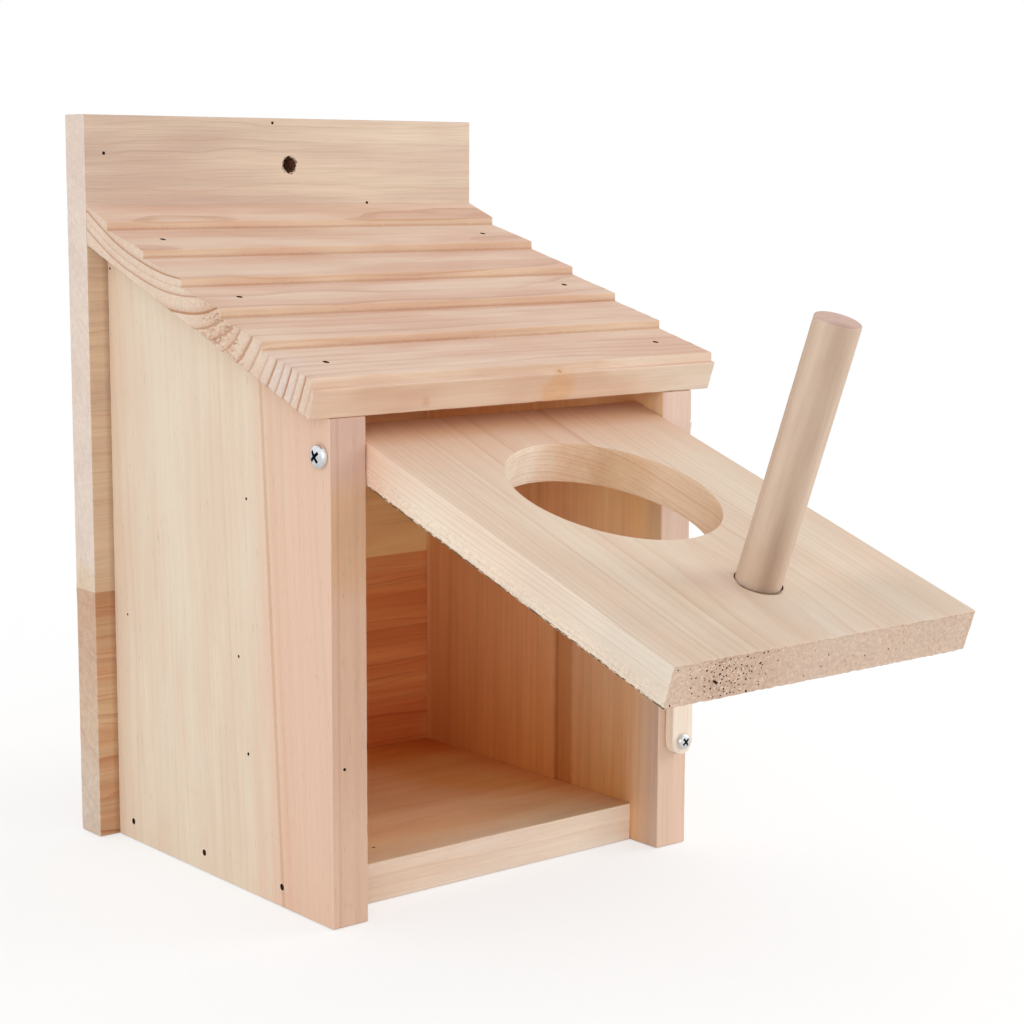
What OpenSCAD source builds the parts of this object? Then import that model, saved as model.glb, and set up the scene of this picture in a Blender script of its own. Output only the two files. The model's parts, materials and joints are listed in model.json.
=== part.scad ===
// Wooden bird nest box with a lift-up front door, a perch and a turn button.
// X runs to the right seen from the front, the front faces -Y and Z is up.
// The origin is on the underside, midway between the side boards and along their depth.

/* [Boards] */
// Thickness of the two side boards
side_t = 12; // [9:0.5:18]
// Thickness of the back board
back_t = 12; // [9:0.5:18]
// Thickness of the floor board
floor_t = 12; // [9:0.5:18]
// Thickness of the door board
door_t = 12; // [10:0.5:15]
// Thickness of the roof board over the crests of its courses
roof_t = 11.5; // [10:0.5:18]

/* [Box] */
// Width over the side boards
box_w = 136; // [120:1:200]
// Depth of the side boards from front to back
box_d = 120; // [100:1:200]
// Height of the side boards at the front
side_front_h = 144.5; // [138:0.5:220]
// Slope of the roof in degrees
roof_pitch = 20; // [12:0.5:30]

/* [Back board] */
// How far the back board and the roof stand out past each side board
back_over = 7; // [2:0.5:25]
// How far the back board stands above the roof's underside
back_rise = 39.8; // [32:0.1:80]
// Height of the lower of the two glued staves
stave_h = 79.5; // [50:0.5:120]
// Diameter of the hanging hole
hang_d = 5; // [3:0.5:8]
// Hanging hole's centre below the top edge
hang_drop = 15; // [10:0.5:18]

/* [Roof courses] */
// Level length of the uncut strip next to the back board
first_course = 13; // [8:0.5:20]
// Level length of each course after it
course_pitch = 21.2; // [14:0.1:30]
// Height of the step between courses
step_h = 2.5; // [1:0.1:4]
// Width of the small ledge under the last course
ledge_w = 1.6; // [0.8:0.1:2.5]

/* [Door] */
// Gap between the door and each side board
door_gap = 0.5; // [0.3:0.1:1.5]
// Gap between the closed door and the floor's front edge
floor_gap = 0.5; // [0.3:0.1:1.5]
// Hinge line below the front top corner of the side boards
hinge_drop = 10.5; // [9.5:0.5:14]
// Hinge line behind the closed door's front
hinge_inset = 4.5; // [4:0.1:6]
// Room left under the roof as the door's top edge swings by
swing_gap = 1.4; // [0.5:0.1:2]
// How far the door is open, in degrees from closed
door_open = 71.5; // [0:0.5:130]
// Diameter of the entrance hole
hole_d = 62; // [28:1:70]
// Entrance hole's centre below the hinge line
hole_drop = 45.5; // [42:0.5:50]

/* [Perch] */
// Diameter of the perch dowel
perch_d = 12.7; // [8:0.1:16]
// Length of the perch outside the door
perch_len = 73.5; // [30:0.5:90]
// Perch's centre below the edge of the entrance hole
perch_drop = 26.5; // [15:0.5:30]
// Perch's centre right of the door's middle
perch_side = 2; // [-5:0.5:5]
// Sideways lean of the perch in degrees, as it was drilled
perch_lean = 2; // [0:0.5:4]
// Depth of the socket that the perch stands in
socket_depth = 6; // [4:0.5:7]
// Gap round the perch in its socket
socket_gap = 0.25; // [0.05:0.05:0.5]

/* [Turn button] */
// Width of the button
button_w = 8.6; // [7:0.1:10]
// Thickness of the button
button_t = 3.5; // [2.5:0.1:6]
// How far the turned button laps over the closed door
button_lap = 14; // [8:0.5:20]
// Height of the button's screw above the underside
button_h = 34.5; // [32:0.5:60]
// Button's screw outside the middle of the side board's edge
button_off = 1; // [0:0.1:1.5]
// Gap behind the button
button_gap = 0.2; // [0.1:0.1:0.5]

/* [Screws] */
// Shank diameter of the two hinge screws
hinge_screw_d = 3.5; // [3:0.1:4.5]
// Length of a hinge screw under its head
hinge_screw_len = 30; // [22:1:35]
// Shank diameter of the perch screw
perch_screw_d = 3; // [2.5:0.1:3.5]
// Length of the perch screw under its head
perch_screw_len = 25; // [18:1:35]
// Shank diameter of the button screw
button_screw_d = 2.5; // [2:0.1:3.5]
// Length of the button screw under its head
button_screw_len = 18; // [12:1:25]
// Radial clearance of a screw that turns in wood, or wood on a screw
turn_gap = 0.05; // [0.03:0.01:0.1]
// Gap under a screw head
head_gap = 0.2; // [0.1:0.05:0.4]

/* [Brads] */
// Shank diameter of a brad
brad_d = 1.2; // [0.8:0.1:1.6]
// Head diameter of a brad
brad_head_d = 1.8; // [1.7:0.1:2.6]
// Length of a brad
brad_len = 25; // [18:1:32]
// Depth that a brad's head is set below the wood
brad_set = 0.4; // [0.1:0.1:1]
// First floor brad in front of the back board
floor_brad_back = 9; // [6:0.5:15]
// Last floor brad behind the front of the side boards
floor_brad_front = 26; // [18:0.5:40]
// Number of brads along each edge of the floor and of the back board
brads_per_edge = 3; // [2:1:4]
// Lowest back board brad above the underside
back_brad_low = 18; // [15:0.5:30]
// Highest back board brad below the top of the side board
back_brad_top = 30; // [26:0.5:45]

/* [Hidden] */
$fn = 64;
over = 1;             // how far a cut runs past a face
snug = 0.02;          // room round a brad or a driven screw
brad_head_h = 1;
front_y = -box_d / 2;
back_y = box_d / 2;
inner_w = box_w - 2 * side_t;
back_w = box_w + 2 * back_over;
side_mid = box_w / 2 - side_t / 2;
side_back_h = side_front_h + box_d * tan(roof_pitch);
back_h = side_back_h + back_rise;

// Hinge line, and the door's size about it when it is closed
hinge_y = front_y + hinge_inset;
hinge_z = side_front_h - hinge_drop;
roof_reach = (hinge_drop + hinge_inset * tan(roof_pitch)) * cos(roof_pitch);
door_above = sqrt(pow(roof_reach - swing_gap, 2) - pow(hinge_inset, 2));
door_foot = 0.5;      // the closed door ends this far above the underside
door_w = inner_w - 2 * door_gap;
hole_z = hinge_z - hole_drop;
perch_z = hole_z - hole_d / 2 - perch_drop;

// Roof board: its front face, and the steps measured level from the back board
front_face_h = roof_t - step_h * cos(roof_pitch);
last_step = box_d + front_face_h * sin(roof_pitch) - ledge_w;
steps = floor((last_step - first_course) / course_pitch);
step_at = [for (i = [0:steps - 1]) first_course + i * course_pitch, last_step];

button_x = side_mid + button_off;
button_arm = button_off + side_t / 2 + door_gap + button_lap;

// Height of the roof's underside, and of its crest line, this far in front of the back board
function under_z(d) = side_back_h - d * tan(roof_pitch);
function crest_z(d) = under_z(d) + roof_t / cos(roof_pitch);

// Points spread evenly from one value to another
function spread(from, to, n) = [for (i = [0:n - 1]) from + (to - from) * i / (n - 1)];

// An outline in Y and Z, made thick along X and centred on x
module slab(x, thick, outline) {
    translate([x - thick / 2, 0, 0]) rotate([90, 0, 90]) linear_extrude(thick) polygon(outline);
}

// Turns what is drawn with the door closed to where the door stands
module opened() {
    translate([0, hinge_y, hinge_z]) rotate([-door_open, 0, 0]) translate([0, -hinge_y, -hinge_z]) children();
}

// Places for fasteners: each points its child's -Z into the wood
module at_hinge(side) {
    translate([side * box_w / 2, hinge_y, hinge_z]) rotate([0, side * 90, 0]) children();
}

module at_perch() {
    translate([perch_side, front_y, perch_z]) rotate([0, 0, perch_lean]) rotate([90, 0, 0]) children();
}

module at_perch_screw() {
    at_perch() translate([0, 0, -door_t / cos(perch_lean)]) mirror([0, 0, 1]) children();
}

module at_button() {
    translate([button_x, front_y, button_h]) rotate([90, 0, 0]) children();
}

module at_floor_brads(side) {
    for (y = spread(back_y - floor_brad_back, front_y + floor_brad_front, brads_per_edge))
        translate([side * box_w / 2, y, floor_t / 2]) rotate([0, side * 90, 0]) children();
}

// Roof brads stand in the middle of every second course, square to the slope
module at_roof_brads(side) {
    for (i = [1:2:steps]) {
        d = (step_at[i - 1] + step_at[i]) / 2;
        z = (crest_z(step_at[i - 1]) - step_h + crest_z(step_at[i])) / 2;
        translate([side * side_mid, back_y - d, z]) rotate([roof_pitch, 0, 0]) children();
    }
}

module at_back_brads(side) {
    for (z = spread(back_brad_low, side_back_h - back_brad_top, brads_per_edge))
        translate([side * side_mid, back_y + back_t, z]) rotate([-90, 0, 0]) children();
}

module at_back_floor_brads() {
    for (side = [-1, 1])
        translate([side * inner_w / 4, back_y + back_t, floor_t / 2]) rotate([-90, 0, 0]) children();
}

// A brad with its head set below the surface at Z = 0, and the hole that it fills
module brad() {
    translate([0, 0, -brad_set - brad_head_h]) cylinder(h = brad_head_h, d = brad_head_d);
    translate([0, 0, -brad_len]) cylinder(h = brad_len - brad_set - brad_head_h / 2, d = brad_d);
}

module brad_hole() {
    seat = -brad_set - brad_head_h - snug;
    translate([0, 0, seat]) cylinder(h = over - seat, d = brad_head_d + 2 * snug);
    translate([0, 0, -brad_len - snug]) cylinder(h = brad_len, d = brad_d + 2 * snug);
}

// A pan head screw with a cross recess, its head standing this far above the surface at Z = 0
module pan_screw(d, len, lift) {
    tip = d;
    head_d = 2 * d;
    head_h = 0.62 * d;
    crown = head_h * 0.45;
    dome_r = (pow(head_d / 2, 2) + pow(crown, 2)) / (2 * crown);
    translate([0, 0, lift]) {
        difference() {
            intersection() {
                cylinder(h = head_h, d = head_d);
                translate([0, 0, head_h - dome_r]) sphere(r = dome_r);
            }
            for (a = [45, 135])
                rotate([0, 0, a]) translate([-d / 2, -d / 8, head_h * 0.35]) cube([d, d / 4, head_h]);
        }
        translate([0, 0, tip - len]) cylinder(h = len - tip + head_h / 4, d = d);
        translate([0, 0, -len]) cylinder(h = tip, d1 = d / 5, d2 = d);
    }
}

// Round hole for a screw's shank, from the surface at Z = 0 down
module screw_hole(d, depth, room) {
    translate([0, 0, -depth]) cylinder(h = depth + over, d = d + 2 * room);
}

module back_board(low, high) {
    difference() {
        translate([-back_w / 2, back_y, low]) cube([back_w, back_t, high - low]);
        translate([0, back_y - over, back_h - hang_drop]) rotate([-90, 0, 0])
            cylinder(h = back_t + 2 * over, d = hang_d);
        for (side = [-1, 1]) at_back_brads(side) brad_hole();
        at_back_floor_brads() brad_hole();
    }
}

module back_board_upper() {
    color("burlywood") back_board(stave_h, back_h);
}

module back_board_lower() {
    color("rosybrown") back_board(0, stave_h);
}

module side_board(side) {
    difference() {
        slab(side * side_mid, side_t, [[front_y, 0], [back_y, 0], [back_y, side_back_h],
            [front_y, side_front_h]]);
        at_hinge(side) screw_hole(hinge_screw_d, side_t + over, turn_gap);
        at_floor_brads(side) brad_hole();
        at_roof_brads(side) brad_hole();
        at_back_brads(side) brad_hole();
        if (side > 0) at_button() screw_hole(button_screw_d, button_screw_len, snug);
    }
}

module side_board_left() {
    color("wheat") side_board(-1);
}

module side_board_right() {
    color("wheat") side_board(1);
}

module floor_board() {
    color("tan") difference() {
        translate([-inner_w / 2, front_y + door_t + floor_gap, 0])
            cube([inner_w, box_d - door_t - floor_gap, floor_t]);
        for (side = [-1, 1]) at_floor_brads(side) brad_hole();
        at_back_floor_brads() brad_hole();
    }
}

// The roof is one board whose top is cut into lapping courses
module roof_board() {
    front = [front_y, side_front_h];
    face_top = front + front_face_h * [-sin(roof_pitch), cos(roof_pitch)];
    courses = [for (i = [steps:-1:0]) let (d = step_at[i])
        each [[back_y - d, crest_z(d) - step_h], [back_y - d, crest_z(d)]]];
    color("burlywood") difference() {
        slab(0, back_w, concat([[back_y, side_back_h], front, face_top], courses, [[back_y, crest_z(0)]]));
        for (side = [-1, 1]) at_roof_brads(side) brad_hole();
    }
}

module door_board() {
    color("wheat") opened() difference() {
        translate([-door_w / 2, front_y, door_foot])
            cube([door_w, door_t, hinge_z + door_above - door_foot]);
        translate([0, front_y - over, hole_z]) rotate([-90, 0, 0]) cylinder(h = door_t + 2 * over, d = hole_d);
        for (side = [-1, 1]) at_hinge(side) screw_hole(hinge_screw_d, hinge_screw_len, snug);
        at_perch() translate([0, 0, -socket_depth])
            cylinder(h = socket_depth + over, d = perch_d + 2 * socket_gap);
        at_perch_screw() screw_hole(perch_screw_d, perch_screw_len, snug);
    }
}

module perch() {
    ease = 0.5;
    color("bisque") opened() difference() {
        at_perch() union() {
            translate([0, 0, -socket_depth]) cylinder(h = socket_depth + perch_len - ease, d = perch_d);
            translate([0, 0, perch_len - ease]) cylinder(h = ease, d1 = perch_d, d2 = perch_d - 2 * ease);
        }
        at_perch_screw() screw_hole(perch_screw_d, perch_screw_len, snug);
    }
}

module perch_screw() {
    color("silver") opened() at_perch_screw() pan_screw(perch_screw_d, perch_screw_len, head_gap);
}

module hinge_screw(side) {
    color("silver") opened() at_hinge(side) pan_screw(hinge_screw_d, hinge_screw_len, head_gap);
}

module hinge_screw_left() {
    hinge_screw(-1);
}

module hinge_screw_right() {
    hinge_screw(1);
}

// The button stands upright beside the door opening, clear of the door
module turn_button() {
    color("moccasin") at_button() translate([0, 0, button_gap]) difference() {
        linear_extrude(button_t) union() {
            circle(d = button_w);
            translate([-button_w / 2, 0]) square([button_w, button_arm - button_w / 2]);
            translate([0, button_arm - button_w / 2]) circle(d = button_w);
        }
        translate([0, 0, -over]) cylinder(h = button_t + 2 * over, d = button_screw_d + 2 * turn_gap);
    }
}

module button_screw() {
    color("silver") at_button()
        pan_screw(button_screw_d, button_screw_len, button_gap + button_t + head_gap);
}

module floor_brads_left() {
    color("gray") at_floor_brads(-1) brad();
}

module floor_brads_right() {
    color("gray") at_floor_brads(1) brad();
}

module roof_brads_left() {
    color("gray") at_roof_brads(-1) brad();
}

module roof_brads_right() {
    color("gray") at_roof_brads(1) brad();
}

module back_brads_left() {
    color("gray") at_back_brads(-1) brad();
}

module back_brads_right() {
    color("gray") at_back_brads(1) brad();
}

module back_brads_floor() {
    color("gray") at_back_floor_brads() brad();
}

back_board_upper();
back_board_lower();
side_board_left();
side_board_right();
floor_board();
roof_board();
door_board();
perch();
perch_screw();
hinge_screw_left();
hinge_screw_right();
turn_button();
button_screw();
floor_brads_left();
floor_brads_right();
roof_brads_left();
roof_brads_right();
back_brads_left();
back_brads_right();
back_brads_floor();
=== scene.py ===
# Bird nest box of planed pine, with its front door lifted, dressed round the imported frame.
# Metres, unless a note says millimetres. X runs right seen from the front, the front faces -Y and Z is up.
import json
import math
import random

import bmesh
import bpy
import numpy as np
from mathutils import Euler, Matrix, Vector, noise
from mathutils.geometry import delaunay_2d_cdt


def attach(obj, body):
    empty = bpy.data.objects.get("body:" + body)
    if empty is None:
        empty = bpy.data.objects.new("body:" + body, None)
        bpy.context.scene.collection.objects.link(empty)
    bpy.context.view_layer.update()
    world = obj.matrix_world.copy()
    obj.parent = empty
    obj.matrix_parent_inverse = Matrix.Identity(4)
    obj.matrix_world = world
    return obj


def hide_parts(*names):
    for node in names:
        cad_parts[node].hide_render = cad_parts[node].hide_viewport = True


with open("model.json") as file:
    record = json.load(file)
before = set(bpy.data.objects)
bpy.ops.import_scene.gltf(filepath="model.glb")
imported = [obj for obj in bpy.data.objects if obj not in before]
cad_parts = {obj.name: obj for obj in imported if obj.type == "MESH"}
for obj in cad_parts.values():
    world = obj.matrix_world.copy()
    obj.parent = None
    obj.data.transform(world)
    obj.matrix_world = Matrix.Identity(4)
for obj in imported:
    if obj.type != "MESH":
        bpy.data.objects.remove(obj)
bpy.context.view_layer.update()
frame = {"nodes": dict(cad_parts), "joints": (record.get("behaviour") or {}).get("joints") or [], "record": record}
mm = 0.001
left, right = Vector((-1, 0, 0)), Vector((1, 0, 0))
front, back = Vector((0, -1, 0)), Vector((0, 1, 0))
down, up = Vector((0, 0, -1)), Vector((0, 0, 1))
print("frame loaded:", len(frame["nodes"]), "nodes")


# Turning the door shut about its hinge and open again, so that it can be made lying straight
hinge = next(j for j in frame["joints"] if j["name"] == "door_hinge")
hingePoint = Vector(hinge["pos_m"])
toShut = math.radians(hinge["range_deg"][0])
shutDoor = (Matrix.Translation(hingePoint) @ Matrix.Rotation(toShut, 4, Vector(hinge["axis"]))
            @ Matrix.Translation(-hingePoint))
openDoor = shutDoor.inverted()
openWay = openDoor.to_3x3()
asMade = Matrix.Identity(4)


def point(x, y, z):
    # a place given in millimetres
    return Vector((x * mm, y * mm, z * mm))


def onDoor(x, y, z):
    # a place on the shut door in millimetres, as it lies with the door lifted
    return openDoor @ point(x, y, z)


def bumpAt(*place, size=1.0):
    # smooth noise, about -1 to 1, with bumps of this size
    return noise.noise(Vector(place) / size)


# Reading shapes from the frame

def crossAxes(axis):
    return [n for n in range(3) if n != axis]


def weldedMesh(node, turned=asMade):
    bm = bmesh.new()
    bm.from_mesh(frame["nodes"][node].data)
    bm.transform(turned)
    bmesh.ops.remove_doubles(bm, verts=bm.verts, dist=0.002 * mm)
    return bm


def boxOf(node, turned=asMade):
    bm = weldedMesh(node, turned)
    spots = np.array([v.co for v in bm.verts])
    bm.free()
    return Vector(spots.min(0)), Vector(spots.max(0))


def solidsOf(node, turned=asMade):
    # the points of each separate solid
    bm = weldedMesh(node, turned)
    rest = set(bm.verts)
    solids = []
    while rest:
        ahead = [min(rest, key=lambda v: v.index)]
        seen = set(ahead)
        while ahead:
            v = ahead.pop()
            near = {e.other_vert(v) for e in v.link_edges} - seen
            seen |= near
            ahead.extend(near)
        rest -= seen
        solids.append(np.array([v.co for v in sorted(seen, key=lambda v: v.index)]))
    bm.free()
    return solids


def stemOf(points):
    # axis of a round piece from its narrow end to its wide end, and the radius of the wide end
    centre = points.mean(0)
    way = np.linalg.svd(points - centre, full_matrices=False)[2][0]
    for _ in range(3):
        reach = (points - centre) @ way
        low = points[reach < reach.min() + 0.3 * mm]
        high = points[reach > reach.max() - 0.3 * mm]
        way = high.mean(0) - low.mean(0)
        way /= np.linalg.norm(way)
    reach = (points - centre) @ way
    sides = np.linalg.norm(points - centre - np.outer(reach, way), axis=1)
    if sides[reach > 0].max() < sides[reach < 0].max() - 0.1 * mm:
        way, low, high = -way, high, low
    return Vector(low.mean(0)), Vector(high.mean(0)), Vector(way), sides.max()


def stemIn(node, turned=asMade):
    return stemOf(solidsOf(node, turned)[0])


def holeOf(name):
    # middle, way, radius and half the depth of a hole that the record states
    hole = next(m for m in frame["record"]["mounts"] if m["name"] == name)
    radius, depth = hole["dims"]["r_mm"], hole["dims"]["length_mm"]
    return Vector(hole["pos_m"]), Vector(hole["axis"]), radius * mm, depth / 2 * mm


def flatOutline(node, axis, side, turned=asMade):
    # corners of the outline of a board's flat at its low or high end along this axis
    bm = weldedMesh(node, turned)
    level = (max if side > 0 else min)(v.co[axis] for v in bm.verts)
    flat = {f for f in bm.faces if all(abs(v.co[axis] - level) < 0.01 * mm for v in f.verts)}
    joins = {}
    for face in flat:
        for edge in face.edges:
            if sum(g in flat for g in edge.link_faces) == 1:
                for v in edge.verts:
                    joins.setdefault(v, []).append(edge.other_vert(v))
    a, b = crossAxes(axis)
    best, bestArea = [], 0.0
    todo = set(joins)
    while todo:
        start = min(todo, key=lambda v: v.index)
        loop = [start]
        before, here = None, start
        while True:
            ahead = [v for v in joins[here] if v is not before]
            before, here = here, ahead[0]
            if here is start:
                break
            loop.append(here)
        todo -= set(loop)
        flatLoop = [Vector((v.co[a], v.co[b])) for v in loop]
        area = sum(p.cross(q) for p, q in zip(flatLoop, flatLoop[1:] + flatLoop[:1])) / 2
        if abs(area) > abs(bestArea):
            best, bestArea = flatLoop, area
    bm.free()
    if bestArea < 0:
        best.reverse()
    count = len(best)
    bends = [(best[i] - best[i - 1]).normalized().cross((best[(i + 1) % count] - best[i]).normalized())
             for i in range(count)]
    return [p for p, bend in zip(best, bends) if abs(bend) > 0.01]


# Making boards

def easedRing(corners, roundAt, step):
    # the outline with its corners rounded and its sides divided; roundAt(corner, convex) is in metres
    count = len(corners)
    bends = [(corners[i] - corners[i - 1]).cross(corners[(i + 1) % count] - corners[i]) for i in range(count)]
    rounds = [roundAt(corners[i], bends[i] > 0) for i in range(count)]
    arcSteps = 4
    ring = []
    for i, here in enumerate(corners):
        after = corners[(i + 1) % count]
        comeIn = (here - corners[i - 1]).normalized()
        goOut = (after - here).normalized()
        start = here - comeIn * rounds[i]
        end = here + goOut * rounds[i]
        if not rounds[i]:
            ring.append(here)
        for k in range(arcSteps + 1 if rounds[i] else 0):
            t = k / arcSteps
            ring.append(start * (1 - t) ** 2 + here * 2 * t * (1 - t) + end * t ** 2)
        far = after - goOut * rounds[(i + 1) % count]
        parts = max(1, round((far - end).length / step))
        ring.extend(end.lerp(far, k / parts) for k in range(1, parts))
    return ring


def sweptBoard(name, node, axis, side, board, turned=asMade, roundAt=None, shrink=None, endShape=None,
               easeShare=None):
    # a board drawn along an axis from its outline at one side, with worn arrises at both ends
    # shrink(point) gives how far a point lies under the planed surface, endShape the same for an end
    a, b = crossAxes(axis)
    corners = boxOf(node, turned)
    low, high = (corner[axis] for corner in corners)
    ring = easedRing(flatOutline(node, axis, side, turned),
                     roundAt or (lambda corner, convex: board["cornerRound"]), board["outlineStep"])
    ease, wear = board["ease"], board["wear"]
    count = len(ring)
    inward = []
    for i in range(count):
        t = (ring[(i + 1) % count] - ring[i - 1]).normalized()
        inward.append(Vector((-t.y, t.x)))
    worn = [[ease * (1 + wear * bumpAt(p.x, p.y, end, size=3.1 * mm)) * (easeShare(p) if easeShare else 1.0)
             for p in ring] for end in (low, high)]
    bm = bmesh.new()

    def outlineAt(level, inwards, lost, turn):
        made = []
        for i, p in enumerate(ring):
            spot = Vector((0, 0, 0))
            spot[axis] = level + inwards * lost[i] * (1 - math.cos(turn))
            spot[a], spot[b] = p
            inset = lost[i] * (1 - math.sin(turn))
            spot[a], spot[b] = p + inward[i] * (inset + (shrink(spot) if shrink else 0.0))
            made.append(bm.verts.new(spot))
        return made

    easeSteps = 3
    turns = [math.pi / 2 * k / easeSteps for k in range(easeSteps + 1)]
    margin = 2 * ease
    middles = max(1, round((high - low - 2 * margin) / board["step"]))
    stations = [outlineAt(low, 1, worn[0], turn) for turn in turns]
    for k in range(middles + 1):
        along = low + margin + (high - low - 2 * margin) * k / middles
        stations.append(outlineAt(along, 1, [0.0] * count, 0.0))
    stations += [outlineAt(high, -1, worn[1], turn) for turn in reversed(turns)]
    skinInto(bm, stations)
    for loop, level, side in ((stations[0], low, -1), (stations[-1], high, 1)):
        if endShape and side in board.get("netSides", (-1, 1)):
            netCap(bm, loop, axis, level, side, board["endNet"], endShape)
        else:
            bm.faces.new(loop)
    bmesh.ops.recalc_face_normals(bm, faces=bm.faces)
    return placed(name, meshOf(name, bm))


def skinInto(bm, rings):
    # faces from each ring of points to the next one
    made = []
    for near, far in zip(rings, rings[1:]):
        count = len(near)
        for k in range(count):
            n = (k + 1) % count
            made.append(bm.faces.new((near[k], near[n], far[n], far[k])))
    return made


def netCap(bm, loop, axis, level, side, grid, endShape):
    # an end closed with a fine net, so that its surface can be worked
    a, b = crossAxes(axis)
    rim = [Vector((v.co[a], v.co[b])) for v in loop]
    lowA, highA = min(p.x for p in rim), max(p.x for p in rim)
    lowB, highB = min(p.y for p in rim), max(p.y for p in rim)
    spots = [Vector((lowA + i * grid, lowB + j * grid)) for i in range(1, round((highA - lowA) / grid))
             for j in range(1, round((highB - lowB) / grid))]
    inner = [spot for spot, kept in zip(spots, insideRing(spots, rim, grid * 0.45)) if kept]
    net = delaunay_2d_cdt(rim + inner, [], [list(range(len(rim)))], 1, 1e-9)
    made = []
    for place, sources in zip(net[0], net[3]):
        onRim = [s for s in sources if s < len(rim)]
        if onRim:
            made.append(loop[onRim[0]])
            continue
        spot = Vector((0, 0, 0))
        spot[a], spot[b] = place
        spot[axis] = level - side * endShape(place.x, place.y, side)
        made.append(bm.verts.new(spot))
    for corner in net[2]:
        bm.faces.new([made[n] for n in corner])


def insideRing(spots, rim, margin):
    # which spots lie inside the rim and not too near it
    spots, corners = np.array(spots), np.array(rim)
    inside = np.zeros(len(spots), bool)
    clear = np.ones(len(spots), bool)
    for p, q in zip(corners, np.roll(corners, -1, 0)):
        side = q - p
        if p[1] != q[1]:
            crossing = p[0] + side[0] * (spots[:, 1] - p[1]) / side[1]
            inside ^= ((p[1] > spots[:, 1]) != (q[1] > spots[:, 1])) & (spots[:, 0] < crossing)
        t = np.clip((spots - p) @ side / max(side @ side, 1e-18), 0, 1)
        clear &= np.linalg.norm(p + t[:, None] * side - spots, axis=1) > margin
    return inside & clear


def meshOf(name, bm):
    mesh = bpy.data.meshes.new(name)
    bm.to_mesh(mesh)
    bm.free()
    return mesh


def placed(name, data, place=(0, 0, 0), turned=(0, 0, 0)):
    made = bpy.data.objects.new(name, data)
    made.location = place
    made.rotation_euler = turned
    bpy.context.scene.collection.objects.link(made)
    return made


# Turned shapes and cuts

def latheInto(bm, foot, way, profile, segments=32, rough=0.0, seed=0, slot=0):
    # profile is a list of (radius, height above foot) from the bottom up, closed at both ends
    turn = way.to_track_quat("Z", "Y").to_matrix()
    rings = []
    for n, (radius, height) in enumerate(profile):
        ring = []
        for k in range(segments):
            angle = 2 * math.pi * k / segments
            flat = Vector((math.cos(angle), math.sin(angle), 0))
            uneven = rough * bumpAt(*(flat * 3.1 + Vector((seed, n * 0.7, 0))))
            ring.append(bm.verts.new(foot + turn @ (flat * (radius + uneven) + Vector((0, 0, height)))))
        rings.append(ring)
    for face in (*skinInto(bm, rings), bm.faces.new(rings[0][::-1]), bm.faces.new(rings[-1])):
        face.material_index = slot
        face.smooth = True


def cutAway(piece, bm):
    # takes the shapes in bm out of the piece; their faces keep their material slot
    mesh = meshOf("cutter", bm)
    for _ in range(4):
        mesh.materials.append(None)
    while len(piece.data.materials) < 4:
        piece.data.materials.append(None)
    cutter = placed("cutter", mesh)
    cut = piece.modifiers.new("cut", "BOOLEAN")
    cut.operation = "DIFFERENCE"
    cut.solver = "EXACT"
    cut.material_mode = "INDEX"
    cut.object = cutter
    bpy.context.view_layer.update()
    seen = piece.evaluated_get(bpy.context.evaluated_depsgraph_get())
    cleaned = bpy.data.meshes.new_from_object(seen)
    piece.modifiers.remove(cut)
    old = piece.data
    piece.data = cleaned
    cleaned.name = piece.name
    bpy.data.meshes.remove(old)
    bpy.data.objects.remove(cutter)
    bpy.data.meshes.remove(mesh)


def bradCuts(bm, nodes, wanted=lambda high: True):
    # a small well over each brad, which was punched below the surface
    for node in nodes:
        for number, points in enumerate(solidsOf(node)):
            high, way, radius = stemOf(points)[1:]
            wall = radius + 0.02 * mm
            rim = wall + 0.15 * mm
            if wanted(high):
                latheInto(bm, high, way, ((wall, -mm), (wall, 0.3 * mm), (rim, 0.47 * mm), (rim, 1.5 * mm)),
                          20, 0.12 * mm, number * 3.7, 1)


def speckCuts(bm, specks, way):
    # pin holes: place on the surface and radius, in millimetres
    for number, (*place, radius) in enumerate(specks):
        radius *= mm
        latheInto(bm, point(*place), way, ((radius * 0.5, -1.3 * mm), (radius * 0.8, -0.3 * mm),
                                           (radius * 1.2, 0.05 * mm), (radius * 1.2, mm)),
                  12, radius * 0.3, number * 1.9, 1)


def splinterInto(bm, root, along, out, length, width, lift):
    # a torn fibre that tapers to a point, with its root in the wood
    rings = []
    side = along.cross(out).normalized()
    for k in range(4):
        t = k / 4
        middle = root + along * length * t + out * (lift * length * t * t - 0.1 * mm)
        half = width / 2 * (1 - t) ** 0.7
        base = middle - out * half * 0.5
        rings.append([bm.verts.new(p) for p in (middle + out * half, base + side * half, base - side * half)])
    tip = bm.verts.new(root + along * length + out * lift * length)
    made = [bm.faces.new(rings[0][::-1]), *skinInto(bm, rings)]
    made += [bm.faces.new((rings[-1][k], rings[-1][(k + 1) % 3], tip)) for k in range(3)]
    for face in made:
        face.material_index = 2


def addInto(piece, bm):
    # joins loose shapes to a piece's mesh
    bmesh.ops.recalc_face_normals(bm, faces=bm.faces)
    mesh = meshOf("added", bm)
    both = bmesh.new()
    both.from_mesh(piece.data)
    both.from_mesh(mesh)
    both.to_mesh(piece.data)
    both.free()
    bpy.data.meshes.remove(mesh)


# Building materials out of nodes

def srgb(*levels):
    # a colour as read off a picture, 0 to 255, as the light it stands for
    shares = [n / 255 for n in levels]
    return [n / 12.92 if n <= 0.04045 else ((n + 0.055) / 1.055) ** 2.4 for n in shares] + [1.0]


def addNode(tree, kind, values=None, **settings):
    node = tree.nodes.new("ShaderNode" + kind)
    for name, value in settings.items():
        setattr(node, name, value)
    for socket, value in (values or {}).items():
        if isinstance(value, bpy.types.NodeSocket):
            tree.links.new(value, node.inputs[socket])
        else:
            node.inputs[socket].default_value = value
    return node


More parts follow.
